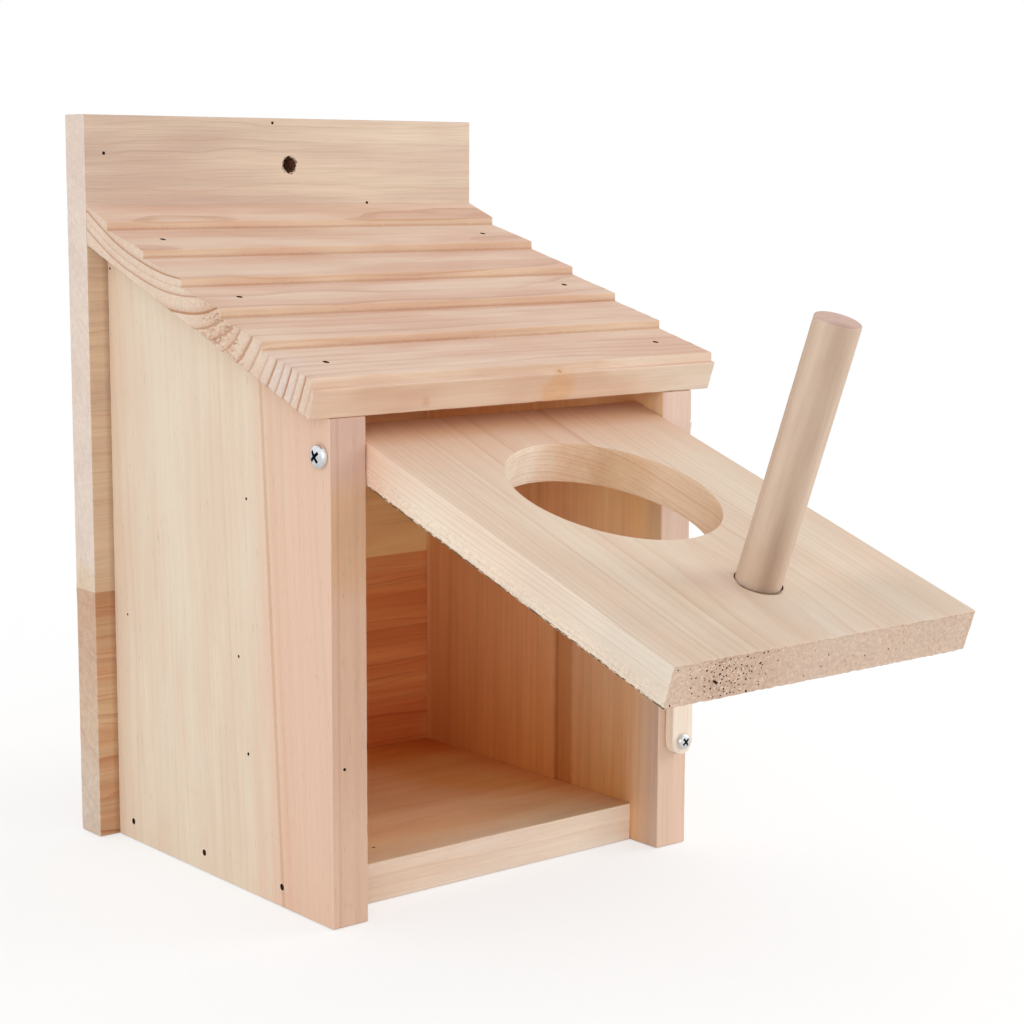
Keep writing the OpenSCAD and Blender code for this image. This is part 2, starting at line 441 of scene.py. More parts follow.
def calc(tree, operation, a, b=0.0):
    return addNode(tree, "Math", {0: a, 1: b}, operation=operation).outputs[0]


def plus(tree, a, b):
    return calc(tree, "ADD", a, b)


def minus(tree, a, b):
    return calc(tree, "SUBTRACT", a, b)


def times(tree, a, b):
    return calc(tree, "MULTIPLY", a, b)


def swing(tree, value, size):
    # a value from 0 to 1 made to swing about 0, this far in all
    return times(tree, minus(tree, value, 0.5), size)


def wayCalc(tree, operation, *values):
    # sums with places and ways: the answer is one, or a plain number
    node = addNode(tree, "VectorMath", dict(enumerate(values)), operation=operation)
    return node.outputs["Value" if operation in ("LENGTH", "DISTANCE", "DOT_PRODUCT") else "Vector"]


def rise(tree, value, start, end, low=0.0, high=1.0):
    # a soft step from low to high as the value goes from start to end
    ends = {"Value": value, "From Min": start, "From Max": end, "To Min": low, "To Max": high}
    return addNode(tree, "MapRange", ends, interpolation_type="SMOOTHSTEP").outputs[0]


def blend(tree, share, a, b, kind="MIX"):
    return addNode(tree, "Mix", {0: share, 6: a, 7: b}, data_type="RGBA", blend_type=kind).outputs[2]


def tinted(tree, share, colour, tint):
    return blend(tree, share, colour, blend(tree, 1.0, colour, (*tint, 1), "MULTIPLY"))


def cloud(tree, place, scale, detail, **more):
    return addNode(tree, "TexNoise", {"Vector": place, "Scale": scale, "Detail": detail} | more).outputs[0]


def fibreNoise(tree, place, along, across, detail=2.0, offset=0.0):
    # noise whose grains are about this long and this wide, from 0 to 1
    scale = (1 / along, 1 / across, 1 / across)
    return cloud(tree, wayCalc(tree, "MULTIPLY_ADD", place, scale, (offset,) * 3), 1.0, detail)


def newMaterial(name):
    material = bpy.data.materials.new(name)
    material.use_nodes = True
    material.node_tree.nodes.clear()
    return material, material.node_tree


def shapedCurve(tree, value, points):
    node = addNode(tree, "FloatCurve", {1: value})
    curve = node.mapping.curves[0]
    while len(curve.points) < len(points):
        curve.points.new(0.5, 0.5)
    for spot, (x, y) in zip(curve.points, points):
        spot.location = (x, y)
    node.mapping.update()
    return node.outputs[0]


def spotAt(at, radius, core, ragged=0, share=1.0):
    # a round place, full over its core and gone at its radius; all sizes are in millimetres
    return {"at": at, "radius": radius * mm, "core": core * mm, "ragged": ragged * mm, "share": share}


def lineAt(at, way, *sizes):
    # the same round a line that runs this way
    return spotAt(at, *sizes) | {"way": way}


def facesTo(way, soft=0.1, **limits):
    # the faces that look this way, from xFrom to xTo and so on, in millimetres
    return {"facing": way, "soft": soft * mm} | {name: limit * mm for name, limit in limits.items()}


def sharesOf(tree, coords, place):
    # how far each condition of a place is met, from 0 to 1
    here = coords.outputs["Object"]
    if "at" in place:
        off = wayCalc(tree, "SUBTRACT", here, place["at"])
        if "way" in place:
            off = wayCalc(tree, "CROSS_PRODUCT", off, place["way"].normalized())
        gap = wayCalc(tree, "LENGTH", off)
        gap = plus(tree, gap, swing(tree, cloud(tree, here, 1.2 / place["radius"], 2.0), place["ragged"]))
        yield rise(tree, gap, place["radius"], place["core"], 0.0, place["share"])
        return
    yield rise(tree, wayCalc(tree, "DOT_PRODUCT", coords.outputs["Normal"], place["facing"]), 0.55, 0.8)
    where = addNode(tree, "SeparateXYZ", {0: here})
    for axis, letter in enumerate("xyz"):
        for end, soft in (("From", place["soft"]), ("To", -place["soft"])):
            if letter + end in place:
                limit = place[letter + end]
                yield rise(tree, where.outputs[axis], limit - soft, limit + soft)


def within(tree, coords, places):
    # 1 where all these places meet, falling softly to 0
    share = None
    for place in places:
        for part in sharesOf(tree, coords, place):
            share = times(tree, share, part) if share else part
    return share


def woodMaterial(name, look):
    # Solid wood: rings round a pith line, fibres along it, all placed in the board itself
    material, tree = newMaterial(name)
    coords = addNode(tree, "TexCoord")
    here = coords.outputs["Object"]
    grain = Vector(look["grain"]).normalized()
    face = (look["face"] - grain * look["face"].dot(grain)).normalized()
    turn = Matrix((grain, face.cross(grain), face)).transposed().to_euler()
    place = addNode(tree, "Mapping", {"Vector": here, "Location": look["pith"], "Rotation": turn},
                    vector_type="TEXTURE").outputs[0]
    split = addNode(tree, "SeparateXYZ", {0: place})

    # Rings, bent by slow noise and uneven in width; the roof's lie flat at its back and upright at its front
    if "run" in look:
        slope = calc(tree, "DIVIDE", split.outputs[1], look["reach"])
        run = shapedCurve(tree, slope, look["run"])
        lean = shapedCurve(tree, slope, look["lean"])
        across = times(tree, run, look["reach"])
        radius = minus(tree, across, times(tree, split.outputs[2], lean))
    else:
        flat = addNode(tree, "CombineXYZ", {1: split.outputs[1], 2: split.outputs[2]})
        radius = wayCalc(tree, "LENGTH", flat.outputs[0])
    warp = swing(tree, fibreNoise(tree, place, *look["waves"], 2.0, look["seed"]), look["waveSize"])
    if "stillFrom" in look:
        warp = times(tree, warp, rise(tree, split.outputs[0], *look["stillFrom"]))
    radius = plus(tree, radius, warp)
    if "count" in look:
        low, high, rings = look["counted"]
        share = calc(tree, "DIVIDE", minus(tree, radius, low), high - low)
        phase = times(tree, shapedCurve(tree, share, look["count"]), rings)
    else:
        phase = calc(tree, "DIVIDE", radius, look["ringGap"])
        sway = times(tree, calc(tree, "SINE", times(tree, phase, 2.3)), look["ringSway"])
        phase = plus(tree, phase, sway)
    ring = addNode(tree, "ValToRGB", {0: calc(tree, "FRACT", phase)})
    stops = ring.color_ramp.elements
    while len(stops) < len(look["ringShape"]):
        stops.new(look["ringShape"][len(stops) - 1][0])
    for stop, (at, level) in zip(stops, look["ringShape"]):
        stop.position = at
        stop.color = (level, level, level, 1)

    # The face that looks along the grain is end grain, where every ring shows alike
    along = wayCalc(tree, "DOT_PRODUCT", coords.outputs["Normal"], grain)
    end = rise(tree, calc(tree, "ABSOLUTE", along), 0.6, 0.9)
    each = addNode(tree, "TexWhiteNoise", {"W": calc(tree, "FLOOR", phase)}, noise_dimensions="1D")
    strength = rise(tree, each.outputs[0], 0.0, 1.0, look["faintest"], 1.0)
    patch = rise(tree, fibreNoise(tree, place, 90 * mm, 14 * mm, 1.0, 7.1), 0.35, 0.65, 0.5, 1.0)
    onEnd = times(tree, end, rise(tree, each.outputs[0], 0.0, 1.0, look["endFaintest"], 0.95))
    strength = calc(tree, "MAXIMUM", times(tree, strength, patch), onEnd)
    late = times(tree, ring.outputs[0], strength)

    # Colour: pale early wood, warmer late wood, slow patches, streaks, fibres and short flecks
    mottle = fibreNoise(tree, place, *look["mottle"], 3.0, 3.3)
    share = times(tree, rise(tree, mottle, 0.35, 0.65), rise(tree, end, 0.0, 1.0, 1.0, 0.35))
    early = blend(tree, share, srgb(*look["pale"]), srgb(*look["warm"]))
    if "edgeTone" in look:
        way, limit, width, tone = look["edgeTone"]
        edge = minus(tree, fibreNoise(tree, place, 130 * mm, 6 * mm, 3.0, 5.7), 0.5)
        side = wayCalc(tree, "DOT_PRODUCT", here, way)
        bent = plus(tree, side, times(tree, edge, width * 2.4))
        early = blend(tree, rise(tree, bent, limit - width, limit + width), early, srgb(*tone))
    share = times(tree, late, rise(tree, end, 0.0, 1.0, look["lateShare"], look["endLate"]))
    if "sawnEnd" in look:
        sawn = times(tree, within(tree, coords, look["sawnEnd"]), 0.9)
        share = times(tree, share, minus(tree, 1.0, sawn))
    colour = blend(tree, share, early, srgb(*look["late"]))
    fibre = fibreNoise(tree, place, 24 * mm, 0.4 * mm, 3.0, 1.7)
    broad = fibreNoise(tree, place, 90 * mm, 1.8 * mm, 3.0, 9.2)
    fleck = rise(tree, fibreNoise(tree, place, 5.5 * mm, 0.36 * mm, 1.0, 4.4), 0.68, 0.76)
    tone = swing(tree, fibre, look["fibre"])
    tone = times(tree, tone, rise(tree, end, 0.0, 1.0, 1.0, look["endRough"]))
    wide = swing(tree, broad, look["streak"])
    speckle = swing(tree, cloud(tree, here, 1 / look["speckleSize"], 3.0), look["speckle"])
    grainy = None
    for amount, *places in look.get("rough", ()):
        rough = times(tree, within(tree, coords, places), amount)
        grainy = calc(tree, "MAXIMUM", grainy, rough) if grainy else rough
    wide = plus(tree, wide, times(tree, speckle, grainy or end))
    tone = plus(tree, plus(tree, tone, wide), 1.0)
    tone = minus(tree, tone, times(tree, fleck, look["fleck"]))
    colour = addNode(tree, "VectorMath", {0: colour, "Scale": tone}, operation="SCALE").outputs[0]
    colour = tinted(tree, end, colour, look["endTint"])
    # each board's listed tones; some stand for painted light and shade, as noted where they are listed
    for tint, *places in look.get("tones", ()):
        colour = tinted(tree, within(tree, coords, places), colour, tint)

    # Matt, a little rougher on early wood, with raised fibres
    roughness = minus(tree, rise(tree, fibre, 0.2, 0.8, 0.6, 0.8), times(tree, late, 0.12))
    height = plus(tree, fibre, times(tree, late, 0.6))
    return surfaced(material, tree, colour, roughness, (0.5, 0.14 * mm, height), {"Specular IOR Level": 0.3})


def surfaced(material, tree, colour, roughness, relief, more):
    # relief is how strong, how high and the pattern
    bump = addNode(tree, "Bump", dict(zip(("Strength", "Distance", "Height"), relief)))
    shader = addNode(tree, "BsdfPrincipled", {"Base Color": colour, "Roughness": roughness,
                                              "Normal": bump.outputs[0]} | more)
    addNode(tree, "OutputMaterial", {0: shader.outputs[0]})
    return material


def speckledWood(name, dark, light):
    # broken or crushed wood, with no grain to see; made dark, it is painted shade on the walls of holes
    material, tree = newMaterial(name)
    spots = cloud(tree, addNode(tree, "TexCoord").outputs["Object"], 1800.0, 2.0)
    colour = blend(tree, rise(tree, spots, 0.3, 0.7), srgb(*dark), srgb(*light))
    roughness = rise(tree, spots, 0.0, 1.0, 0.7, 0.95)
    return surfaced(material, tree, colour, roughness, (0.6, 0.1 * mm, spots), {"Specular IOR Level": 0.2})


def metal(name, light, dark, dents, smoothest, roughest):
    # plated steel with small uneven patches and fine scratches
    material, tree = newMaterial(name)
    here = addNode(tree, "TexCoord").outputs["Object"]
    patches = cloud(tree, here, 900.0, 3.0)
    scratch = cloud(tree, here, 2600.0, 4.0, Distortion=2.0)
    colour = blend(tree, patches, srgb(*light), srgb(*dark))
    roughness = rise(tree, scratch, 0.3, 0.7, smoothest, roughest)
    return surfaced(material, tree, colour, roughness, (dents, 0.05 * mm, scratch), {"Metallic": 1.0})


# painted shade: dark walls for nail holes, pin holes, pits and screw holes, and below it for the bored holes
holeShade = speckledWood("painted shade in holes", dark=(20, 12, 8), light=(84, 54, 38))
tornWood = speckledWood("torn fibres", dark=(232, 212, 190), light=(250, 238, 222))
boreShade = speckledWood("painted shade in bores", dark=(44, 26, 18), light=(150, 100, 70))
zinc = metal("zinc plate", light=(244, 245, 248), dark=(206, 209, 215), dents=0.3, smoothest=0.12,
             roughest=0.3)
# painted shade: a dark metal for the cross recess of each screw head
recessShade = metal("painted shade in the recess", light=(60, 58, 58), dark=(24, 22, 22), dents=0.4, smoothest=0.5,
              roughest=0.8)
bradSteel = metal("brad steel", light=(92, 84, 78), dark=(48, 42, 40), dents=0.4, smoothest=0.4,
                  roughest=0.65)
plainWood = {
    "waves": (120 * mm, 30 * mm), "waveSize": 6 * mm, "seed": 0.0, "ringSway": 0.18, "faintest": 0.35,
    "ringShape": ((0.0, 0.0), (0.45, 0.06), (0.78, 0.36), (0.92, 1.0), (0.97, 0.9), (1.0, 0.0)),
    "mottle": (60 * mm, 12 * mm), "lateShare": 0.6, "endLate": 0.8, "endFaintest": 0.5, "endRough": 2.2,
    "fibre": 0.16, "streak": 0.14, "fleck": 0.12, "endTint": (0.84, 0.77, 0.70),
    "speckle": 0.25, "speckleSize": 0.9 * mm,
}
planed = {"ease": 0.35 * mm, "wear": 0.6, "step": 6 * mm, "outlineStep": 3 * mm, "cornerRound": 0.6 * mm}
chamberShade = (1.12, 0.86, 0.56)  # painted shade: wood in the nest chamber made deeper and oranger than outside, for the shade and warm bounced light inside
wall, outside = 56, 68  # the side boards' inner and outer faces, in millimetres from the middle
chamber = {"xFrom": -57, "xTo": 57}  # what shows of the back between the side boards, and a little more
roofTop = 189  # where the roof's top meets the back board
fascia = -57  # the roof's front edge lies before this
print("materials ready")


# Roof: one board cut into six lapping courses, with bold rings on its ends
roofBoard = {
    "ease": 0.35 * mm, "wear": 0.5, "step": 2.5 * mm, "outlineStep": 0.55 * mm,
    "crestRound": 0.45 * mm, "valleyRound": 0.15 * mm, "cutterRipple": 0.16 * mm, "endNet": 0.36 * mm,
    "ringRelief": 0.4 * mm, "ringNotch": 1.3 * mm, "smallNotch": 0.15 * mm, "notchReach": 2.4 * mm,
    "tornFrom": 62 * mm, "tornTo": 96 * mm, "torn": 1.1 * mm, "eavesChips": 0.55 * mm,
}
roofEdge = boxOf("roof_board")[1].x
roofCorners = flatOutline("roof_board", 0, -1)
eaves = min(roofCorners, key=lambda p: p.y)  # the underside's front corner
heel = max(roofCorners, key=lambda p: p.x - p.y)  # the underside's rear corner
slope = math.atan2(heel.y - eaves.y, heel.x - eaves.x)
downSlope = Vector((0, -math.cos(slope), -math.sin(slope)))
offRoof = Vector((0, -math.sin(slope), math.cos(slope)))
valleys = [p for i, p in enumerate(roofCorners) if p.x > fascia * mm
           and (p - roofCorners[i - 1]).cross(roofCorners[(i + 1) % len(roofCorners)] - p) < 0]
roofWood = plainWood | {
    "grain": left, "face": offRoof, "pith": (0, heel.x, heel.y),
    "reach": 140 * mm,
    "run": ((0.0, 0.10), (0.2, 0.086), (0.43, 0.124), (0.57, 0.19), (0.643, 0.243), (0.764, 0.356),
            (0.87, 0.461), (1.0, 0.586)),
    "lean": ((0.0, 0.98), (0.25, 1.0), (0.45, 0.93), (0.57, 0.8), (0.64, 0.5), (0.76, 0.27), (0.87, 0.1),
             (1.0, 0.05)),
    "counted": (-10 * mm, 85 * mm, 25),
    "count": ((0.0, 0.0), (0.085, 0.08), (0.118, 0.12), (0.158, 0.16), (0.21, 0.24), (0.263, 0.28),
              (0.4, 0.4), (0.465, 0.44), (0.622, 0.56), (1.0, 0.97)),
    "waves": (90 * mm, 24 * mm), "waveSize": 10 * mm, "stillFrom": (74 * mm, 45 * mm),
    "ringShape": ((0.0, 0.0), (0.55, 0.05), (0.8, 0.35), (0.88, 1.0), (0.98, 1.0), (1.0, 0.0)),
    "pale": (225, 198, 177), "warm": (216, 179, 157), "late": (178, 122, 86), "lateShare": 0.42,
    "endTint": (1.13, 1.19, 1.20), "faintest": 0.25, "streak": 0.2, "endFaintest": 0.35, "endLate": 0.95,
    "tones": (
        ((0.96, 0.94, 0.86), facesTo(front, yFrom=fascia)),
        # painted light: the fascia's face, which leans downward, made lighter
        ((1.05, 1.12, 1.09), facesTo(front, yTo=fascia)),
        ((0.93, 0.86, 0.83), facesTo(front, 4, xFrom=-62, xTo=30, yTo=fascia, zFrom=149.5)),
        ((0.96, 0.92, 0.92), facesTo(front, 5, xFrom=-48, xTo=0, yTo=fascia, zTo=149.5)),
        ((1.06, 1.18, 1.26), facesTo(front, 6, xFrom=44, yTo=fascia, zTo=150)),
        ((1.02, 1.07, 1.10), facesTo(front, 6, xFrom=36, yTo=fascia, zFrom=150)),
        # painted shade: the underside over the chamber deeper and oranger
        (chamberShade, facesTo(-offRoof, xFrom=-wall, xTo=wall, yFrom=-58, yTo=60)),
        # painted shade: a dark line along each valley between the courses
        *(((0.70, 0.55, 0.47), lineAt((0, p.x, p.y), right, 0.8, 0.1, 0.9, 0.6)) for p in valleys),
        ((0.98, 0.85, 0.67), spotAt(point(12, -62, 148), 8, 3.5, 8, 0.9)),
        ((0.86, 0.74, 0.68), lineAt(point(0, -63.1, 156.5), right, 1.3, 0.2, 1.2, 0.5)),
        ((0.55, 0.42, 0.32), spotAt(point(12.5, -62, 153.5), 1.1, 0.2, 1, 0.8)),
        ((0.84, 0.72, 0.60), spotAt(point(-36, -62, 147), 2.6, 0.4, 3, 0.7)),
        ((0.86, 0.74, 0.64), spotAt(point(-75, -14, 170), 14, 0, 18, 0.4)),
        ((1.0, 1.06, 1.2), spotAt(point(-75, -48, 154), 15, 0, 9, 0.85)),
    ),
}


def roofRingAt(y, z):
    # how far a place is through its ring, which is the material's too, how far down the slope it lies,
    # and how hard that ring is next to the others
    fromHeel = Vector((0, y - heel.x, z - heel.y))
    along, deep = fromHeel.dot(downSlope), fromHeel.dot(offRoof)
    share = along / roofWood["reach"]
    low, high, rings = roofWood["counted"]
    across = curveAt(0, share) * roofWood["reach"] - deep * curveAt(1, share)
    phase = curveAt(2, (across - low) / (high - low)) * rings
    return phase % 1.0, along, 0.75 + 0.7 * bumpAt(math.floor(phase) * 1.37, 0.4, 0)


def curveAt(number, value):
    mapping = ringCurves[number].mapping
    return mapping.evaluate(mapping.curves[0], value)


def sawTooth(phase):
    # soft early wood wears away towards each hard dark line, which stands proud
    return phase / 0.9 if phase < 0.9 else (1 - phase) / 0.1


def roofEnd(y, z, side):
    rough = 0.5 + 0.5 * bumpAt(y, z, side, size=0.9 * mm)
    phase, along, uneven = roofRingAt(y, z)
    tornFrom, tornTo = roofBoard["tornFrom"], roofBoard["tornTo"]
    strength = 0.3 if along < tornFrom else uneven
    deep = roofBoard["ringRelief"] * (0.3 * rough + strength * (1 - sawTooth(phase)) * 0.7)
    if tornFrom < along < tornTo:
        share = (along - tornFrom) / (tornTo - tornFrom)
        lump = 1 - abs(bumpAt(y, 2.4 * z, side, size=2.2 * mm)) * 2.2
        lump += 0.5 * bumpAt(y, z, side, size=0.8 * mm)
        deep += roofBoard["torn"] * max(0.0, lump) ** 2 * math.sin(math.pi * share) * 0.6
    return deep


def roofRipple(spot):
    # the planer left the courses slightly uneven, and the saw broke the ends at each dark line
    wave = bumpAt(spot.x / (26 * mm), spot.y / (5 * mm), spot.z / (5 * mm))
    fine = bumpAt(spot.x / (5 * mm), spot.y / (3 * mm), spot.z / (3 * mm))
    deep = roofBoard["cutterRipple"] * (0.5 + 0.5 * wave + 0.25 * fine)
    nearEnd = 1 - (roofEdge - abs(spot.x)) / roofBoard["notchReach"]
    if nearEnd > 0:
        phase, along, uneven = roofRingAt(spot.y, spot.z)
        if along > roofBoard["tornFrom"]:
            notch = roofBoard["ringNotch" if spot.x < 0 else "smallNotch"] * uneven
            deep += notch * nearEnd * (1 - sawTooth(phase)) * (0.5 + 0.5 * fine)
    fromEaves = math.hypot(spot.y - eaves.x, spot.z - eaves.y)
    if fromEaves < mm:
        chip = bumpAt(spot.x / (4 * mm), 2.0, 0) + 0.6 * bumpAt(spot.x / (1.5 * mm), 5.0, 0)
        deep += roofBoard["eavesChips"] * max(0.0, chip - 0.1) * (1 - fromEaves / mm)
    return deep


def roofRound(corner, convex):
    above = Vector((0, corner.x - heel.x, corner.y - heel.y)).dot(offRoof)
    if not convex:
        return roofBoard["valleyRound"]
    return roofBoard["crestRound"] if above > 4 * mm else 2 * roofBoard["ease"]


roofMaterial = woodMaterial("roof wood", roofWood)
ringCurves = [n for n in roofMaterial.node_tree.nodes if n.bl_idname == "ShaderNodeFloatCurve"]
roof = sweptBoard("roofBoard", "roof_board", 0, -1, roofBoard, roundAt=roofRound, shrink=roofRipple,
                  endShape=roofEnd)
cuts = bmesh.new()
bradCuts(cuts, ("roof_brads_left", "roof_brads_right"))
cutAway(roof, cuts)
print("roof made:", len(roof.data.polygons), "faces")


# Side boards: grain upright, the left one cream, turning pink towards its front
sideBoard = planed | {
    "leftSpecks": ((-outside, -12.4, 70.6, 0.45), (-outside, -16.9, 42.1, 0.5), (-outside, -17.6, 117.8, 0.4),
                   (-outside, 52, 73, 0.35), (-outside, 58.4, 181, 0.4)),
    "frontSpeck": ((-63.9, -60, 45.9, 0.45),),
}
leftWood = plainWood | {
    "grain": (0.0, 0.05, 1.0), "face": left, "pith": (20 * mm, 150 * mm, 0),
    "ringGap": 3.6 * mm, "waveSize": 8 * mm, "seed": 2.0, "lateShare": 0.2, "endLate": 0.5,
    "pale": (241, 224, 201), "warm": (238, 215, 191), "late": (214, 172, 134), "fibre": 0.12, "streak": 0.11,
    "fleck": 0.2, "edgeTone": (front, 27 * mm, 13 * mm, (238, 202, 178)),
    "tones": (
        ((0.78, 0.73, 0.70), facesTo(front)),
        ((0.92, 0.93, 1.02), facesTo(front, 6, zFrom=126)),
        ((0.97, 0.93, 0.80), facesTo(front, 6, zFrom=96, zTo=126)),
        ((1.08, 1.13, 1.17), facesTo(front, 14, zTo=36)),
        # painted shade: the inner face deeper and oranger, like the rest of the chamber
        (chamberShade, facesTo(right, 7, yFrom=-54)),
        ((0.86, 0.72, 0.62), lineAt(point(-outside, -30, 80), Vector((0, 0.06, 1)), 1.3, 0.3, 0.9, 0.8)),
        ((0.95, 0.84, 0.77), lineAt(point(-outside, -33.5, 80), Vector((0, 0.06, 1)), 2.8, 0.3, 2.0, 0.5)),
        ((1.0, 0.93, 0.90), lineAt(point(-outside, 56, 40), up, 11, 2, 8, 0.5)),
        ((0.86, 0.76, 0.68), lineAt(point(-65.6, -60, 40), up, 0.8, 0.1, 0.5, 0.5)),
        ((0.92, 0.88, 0.84), lineAt(point(-59.5, -60, 40), up, 1.6, 0.2, 1.2, 0.5)),
    ),
}
lowerWall = spotAt(point(wall, -14, 20), 90, 48)
rightWood = plainWood | {
    "grain": (0.0, -0.01, 1.0), "face": right, "pith": (-10 * mm, -120 * mm, 0),
    "ringGap": 2.3 * mm, "ringSway": 0.42, "seed": 4.0, "lateShare": 0.24, "faintest": 0.12, "streak": 0.3,
    "pale": (234, 206, 184), "warm": (230, 198, 176), "late": (198, 142, 100),
    "tones": (
        # painted shade: the inner face deeper and oranger, for the chamber's shade and bounced light
        ((1.18, 0.94, 0.62), facesTo(left, 7, yFrom=-54)),
        # painted shade: darker and oranger low on the inner face, towards the floor
        ((0.70, 0.45, 0.21), lineAt(point(wall, 12, 0), up, 67, 52), facesTo(left, 45, zTo=45)),
        # painted light and shade: lighter and darker patches on the inner face towards the front, where the door
        # and roof shade it unevenly
        ((1.13, 1.32, 1.38), facesTo(left, 16, yFrom=-48, yTo=-18, zFrom=95)),
        ((0.92, 1.05, 1.27), facesTo(left, 12, yFrom=-52, yTo=-10, zTo=95)),
        ((1.04, 1.12, 1.20), facesTo(left, 12, yFrom=-46, yTo=-26, zTo=62)),
        ((0.88, 0.90, 0.90), facesTo(left, 8, yTo=-49, zTo=50)),
        ((1.06, 1.08, 0.88), facesTo(left, 9, yTo=-50, zFrom=92)),
        ((0.90, 0.88, 0.93), facesTo(front, 30, zFrom=105)),
        # painted highlight: a pale line down the inner face at the back corner
        ((1.1, 1.35, 1.7), lineAt(point(wall, 59, 0), up, 1.5, 0.5, 0.4, 0.6)),
        ((0.76, 0.62, 0.48), lineAt(point(wall, -14, 0), up, 5.6, 3, 1.6, 0.95), lowerWall),
        ((0.74, 0.62, 0.55), lineAt(point(wall, -11, 0), up, 1.4, 0.3, 0.8, 0.7), lowerWall),
    ),
}


def sidePiece(name, node, side, brads):
    piece = sweptBoard(name, node, 0, side, sideBoard)
    low, high = boxOf(node)
    cuts = bmesh.new()
    for screw in ("hinge_screw_left", "hinge_screw_right"):
        head, way, radius = stemIn(screw)[1:]
        if way.x * side > 0:
            shank = radius / 2 + 0.05 * mm
            rim = shank + 0.4 * mm
            foot = Vector((low.x if side > 0 else high.x, head.y, head.z)) - way * mm
            latheInto(cuts, foot, way, ((shank, 0), (shank, 12.8 * mm), (rim, 13.1 * mm), (rim, 15 * mm)),
                      24, 0, 0, 1)
    bradCuts(cuts, (brads,))
    if side < 0:
        speckCuts(cuts, sideBoard["leftSpecks"], left)
        speckCuts(cuts, sideBoard["frontSpeck"], front)
    cutAway(piece, cuts)
    return piece


leftSide = sidePiece("leftSideBoard", "side_board_left", -1, "floor_brads_left")
rightSide = sidePiece("rightSideBoard", "side_board_right", 1, "floor_brads_right")
print("side boards made")


# Back board: a pale upper stave glued to a pinker lower one with wavy grain
backBoard = planed | {
    "step": 4 * mm, "glueRound": 0.04 * mm, "holeTorn": 0.4 * mm, "holeFibres": 34,
    "specks": ((-68.4, 60, 216.3, 0.5), (-6.5, 60, 226.4, 0.45), (31, 60, 200.6, 0.45)),
}
# painted shade: darker along the corner where the back's front face meets the left side board
cornerShade = ((0.74, 0.68, 0.62), lineAt(point(-outside, 60, 0), up, 2.4, 0.2, 0.8, 0.8),
              facesTo(front, zTo=roofTop))
upperWood = plainWood | {
    "grain": (1, 0, 0.01), "face": back, "pith": (0, 135 * mm, 96 * mm),
    "ringGap": 2.6 * mm, "waves": (60 * mm, 25 * mm), "waveSize": 9 * mm, "seed": 6.0, "lateShare": 0.4,
    "pale": (219, 192, 171), "warm": (206, 175, 157), "late": (182, 138, 110), "mottle": (80 * mm, 12 * mm),
    "streak": 0.24, "fibre": 0.34, "endLate": 0.15, "endTint": (1.22, 1.38, 1.53), "endRough": 0.8,
    "speckle": 0.12,
    "tones": (
        # painted shade and light: the face inside the chamber deeper and oranger, with a lighter band across it
        ((1.14, 0.86, 0.55), facesTo(front, **chamber, zTo=roofTop)),
        ((1.43, 1.88, 1.84), lineAt(point(0, 60, 80), right, 35, 16), facesTo(front, **chamber)),
        ((1.12, 1.05, 0.95), facesTo(back)),
        ((0.93, 0.93, 0.93), facesTo(front, 45, xTo=5, zFrom=roofTop)),
        ((1.01, 1.06, 1.05), facesTo(front, zFrom=roofTop)),
        ((1.05, 1.10, 1.10), facesTo(front, 32, xFrom=22, zFrom=roofTop)),
        # the strip left of the side board darker: partly the wood's own tone, partly painted shade; the line after
        # it is painted shade in the corner
        ((0.93, 0.91, 0.80), facesTo(front, xTo=-outside, zTo=roofTop)),
        cornerShade,
        ((0.95, 0.90, 0.76), spotAt(point(-75, 66, 80), 11, 2, 5)),
    ),
}
lowerWood = plainWood | {
    "grain": (1, 0, -0.02), "face": back, "pith": (0, 100 * mm, -20 * mm),
    "ringGap": 2.3 * mm, "waves": (70 * mm, 11 * mm), "waveSize": 8 * mm, "seed": 8.0, "ringSway": 0.3,
    "lateShare": 0.8, "faintest": 0.2, "mottle": (70 * mm, 5 * mm), "fibre": 0.24,
    "pale": (224, 187, 156), "warm": (216, 168, 134), "late": (178, 102, 64), "streak": 0.34,
    "endLate": 0.2, "endTint": (1.0, 1.14, 1.26), "endRough": 1.0, "speckle": 0.2,
    "tones": (
        # painted shade and light: the face inside the chamber deeper and oranger, lighter at its top and darker
        # towards the floor
        ((1.12, 0.68, 0.36), facesTo(front, **chamber, zTo=roofTop)),
        ((1.13, 1.42, 1.7), facesTo(front, 5, **chamber, zFrom=71)),
        ((0.77, 0.51, 0.31), facesTo(front, 10, **chamber, zTo=24)),
        # the strip left of the side board darker: partly the wood's own tone, partly painted shade
        ((0.80, 0.73, 0.63), facesTo(front, xTo=-outside, zTo=roofTop)),
        ((0.85, 0.82, 0.78), facesTo(front, 6, xTo=-outside, zFrom=68)),
        ((0.92, 0.82, 0.78), facesTo(left, 22, zFrom=52)),
        ((1.07, 1.17, 1.19), spotAt(point(-72, 60, 36), 20, 6, 4), facesTo(front, xTo=-outside)),
        ((1.0, 1.09, 1.2), facesTo(left, 14, zTo=24)),
        # painted shade in the corner beside the left side board
        cornerShade,
    ),
}
glueLine = boxOf("back_board_lower")[1].z


def glued(p, reach):
    return abs(p.y - glueLine) < reach


def backPiece(name, node):
    return sweptBoard(name, node, 0, -1, backBoard, easeShare=lambda p: 0.1 if glued(p, 0.5 * mm) else 1.0,
                      roundAt=lambda p, convex: backBoard["glueRound" if glued(p, mm) else "cornerRound"])


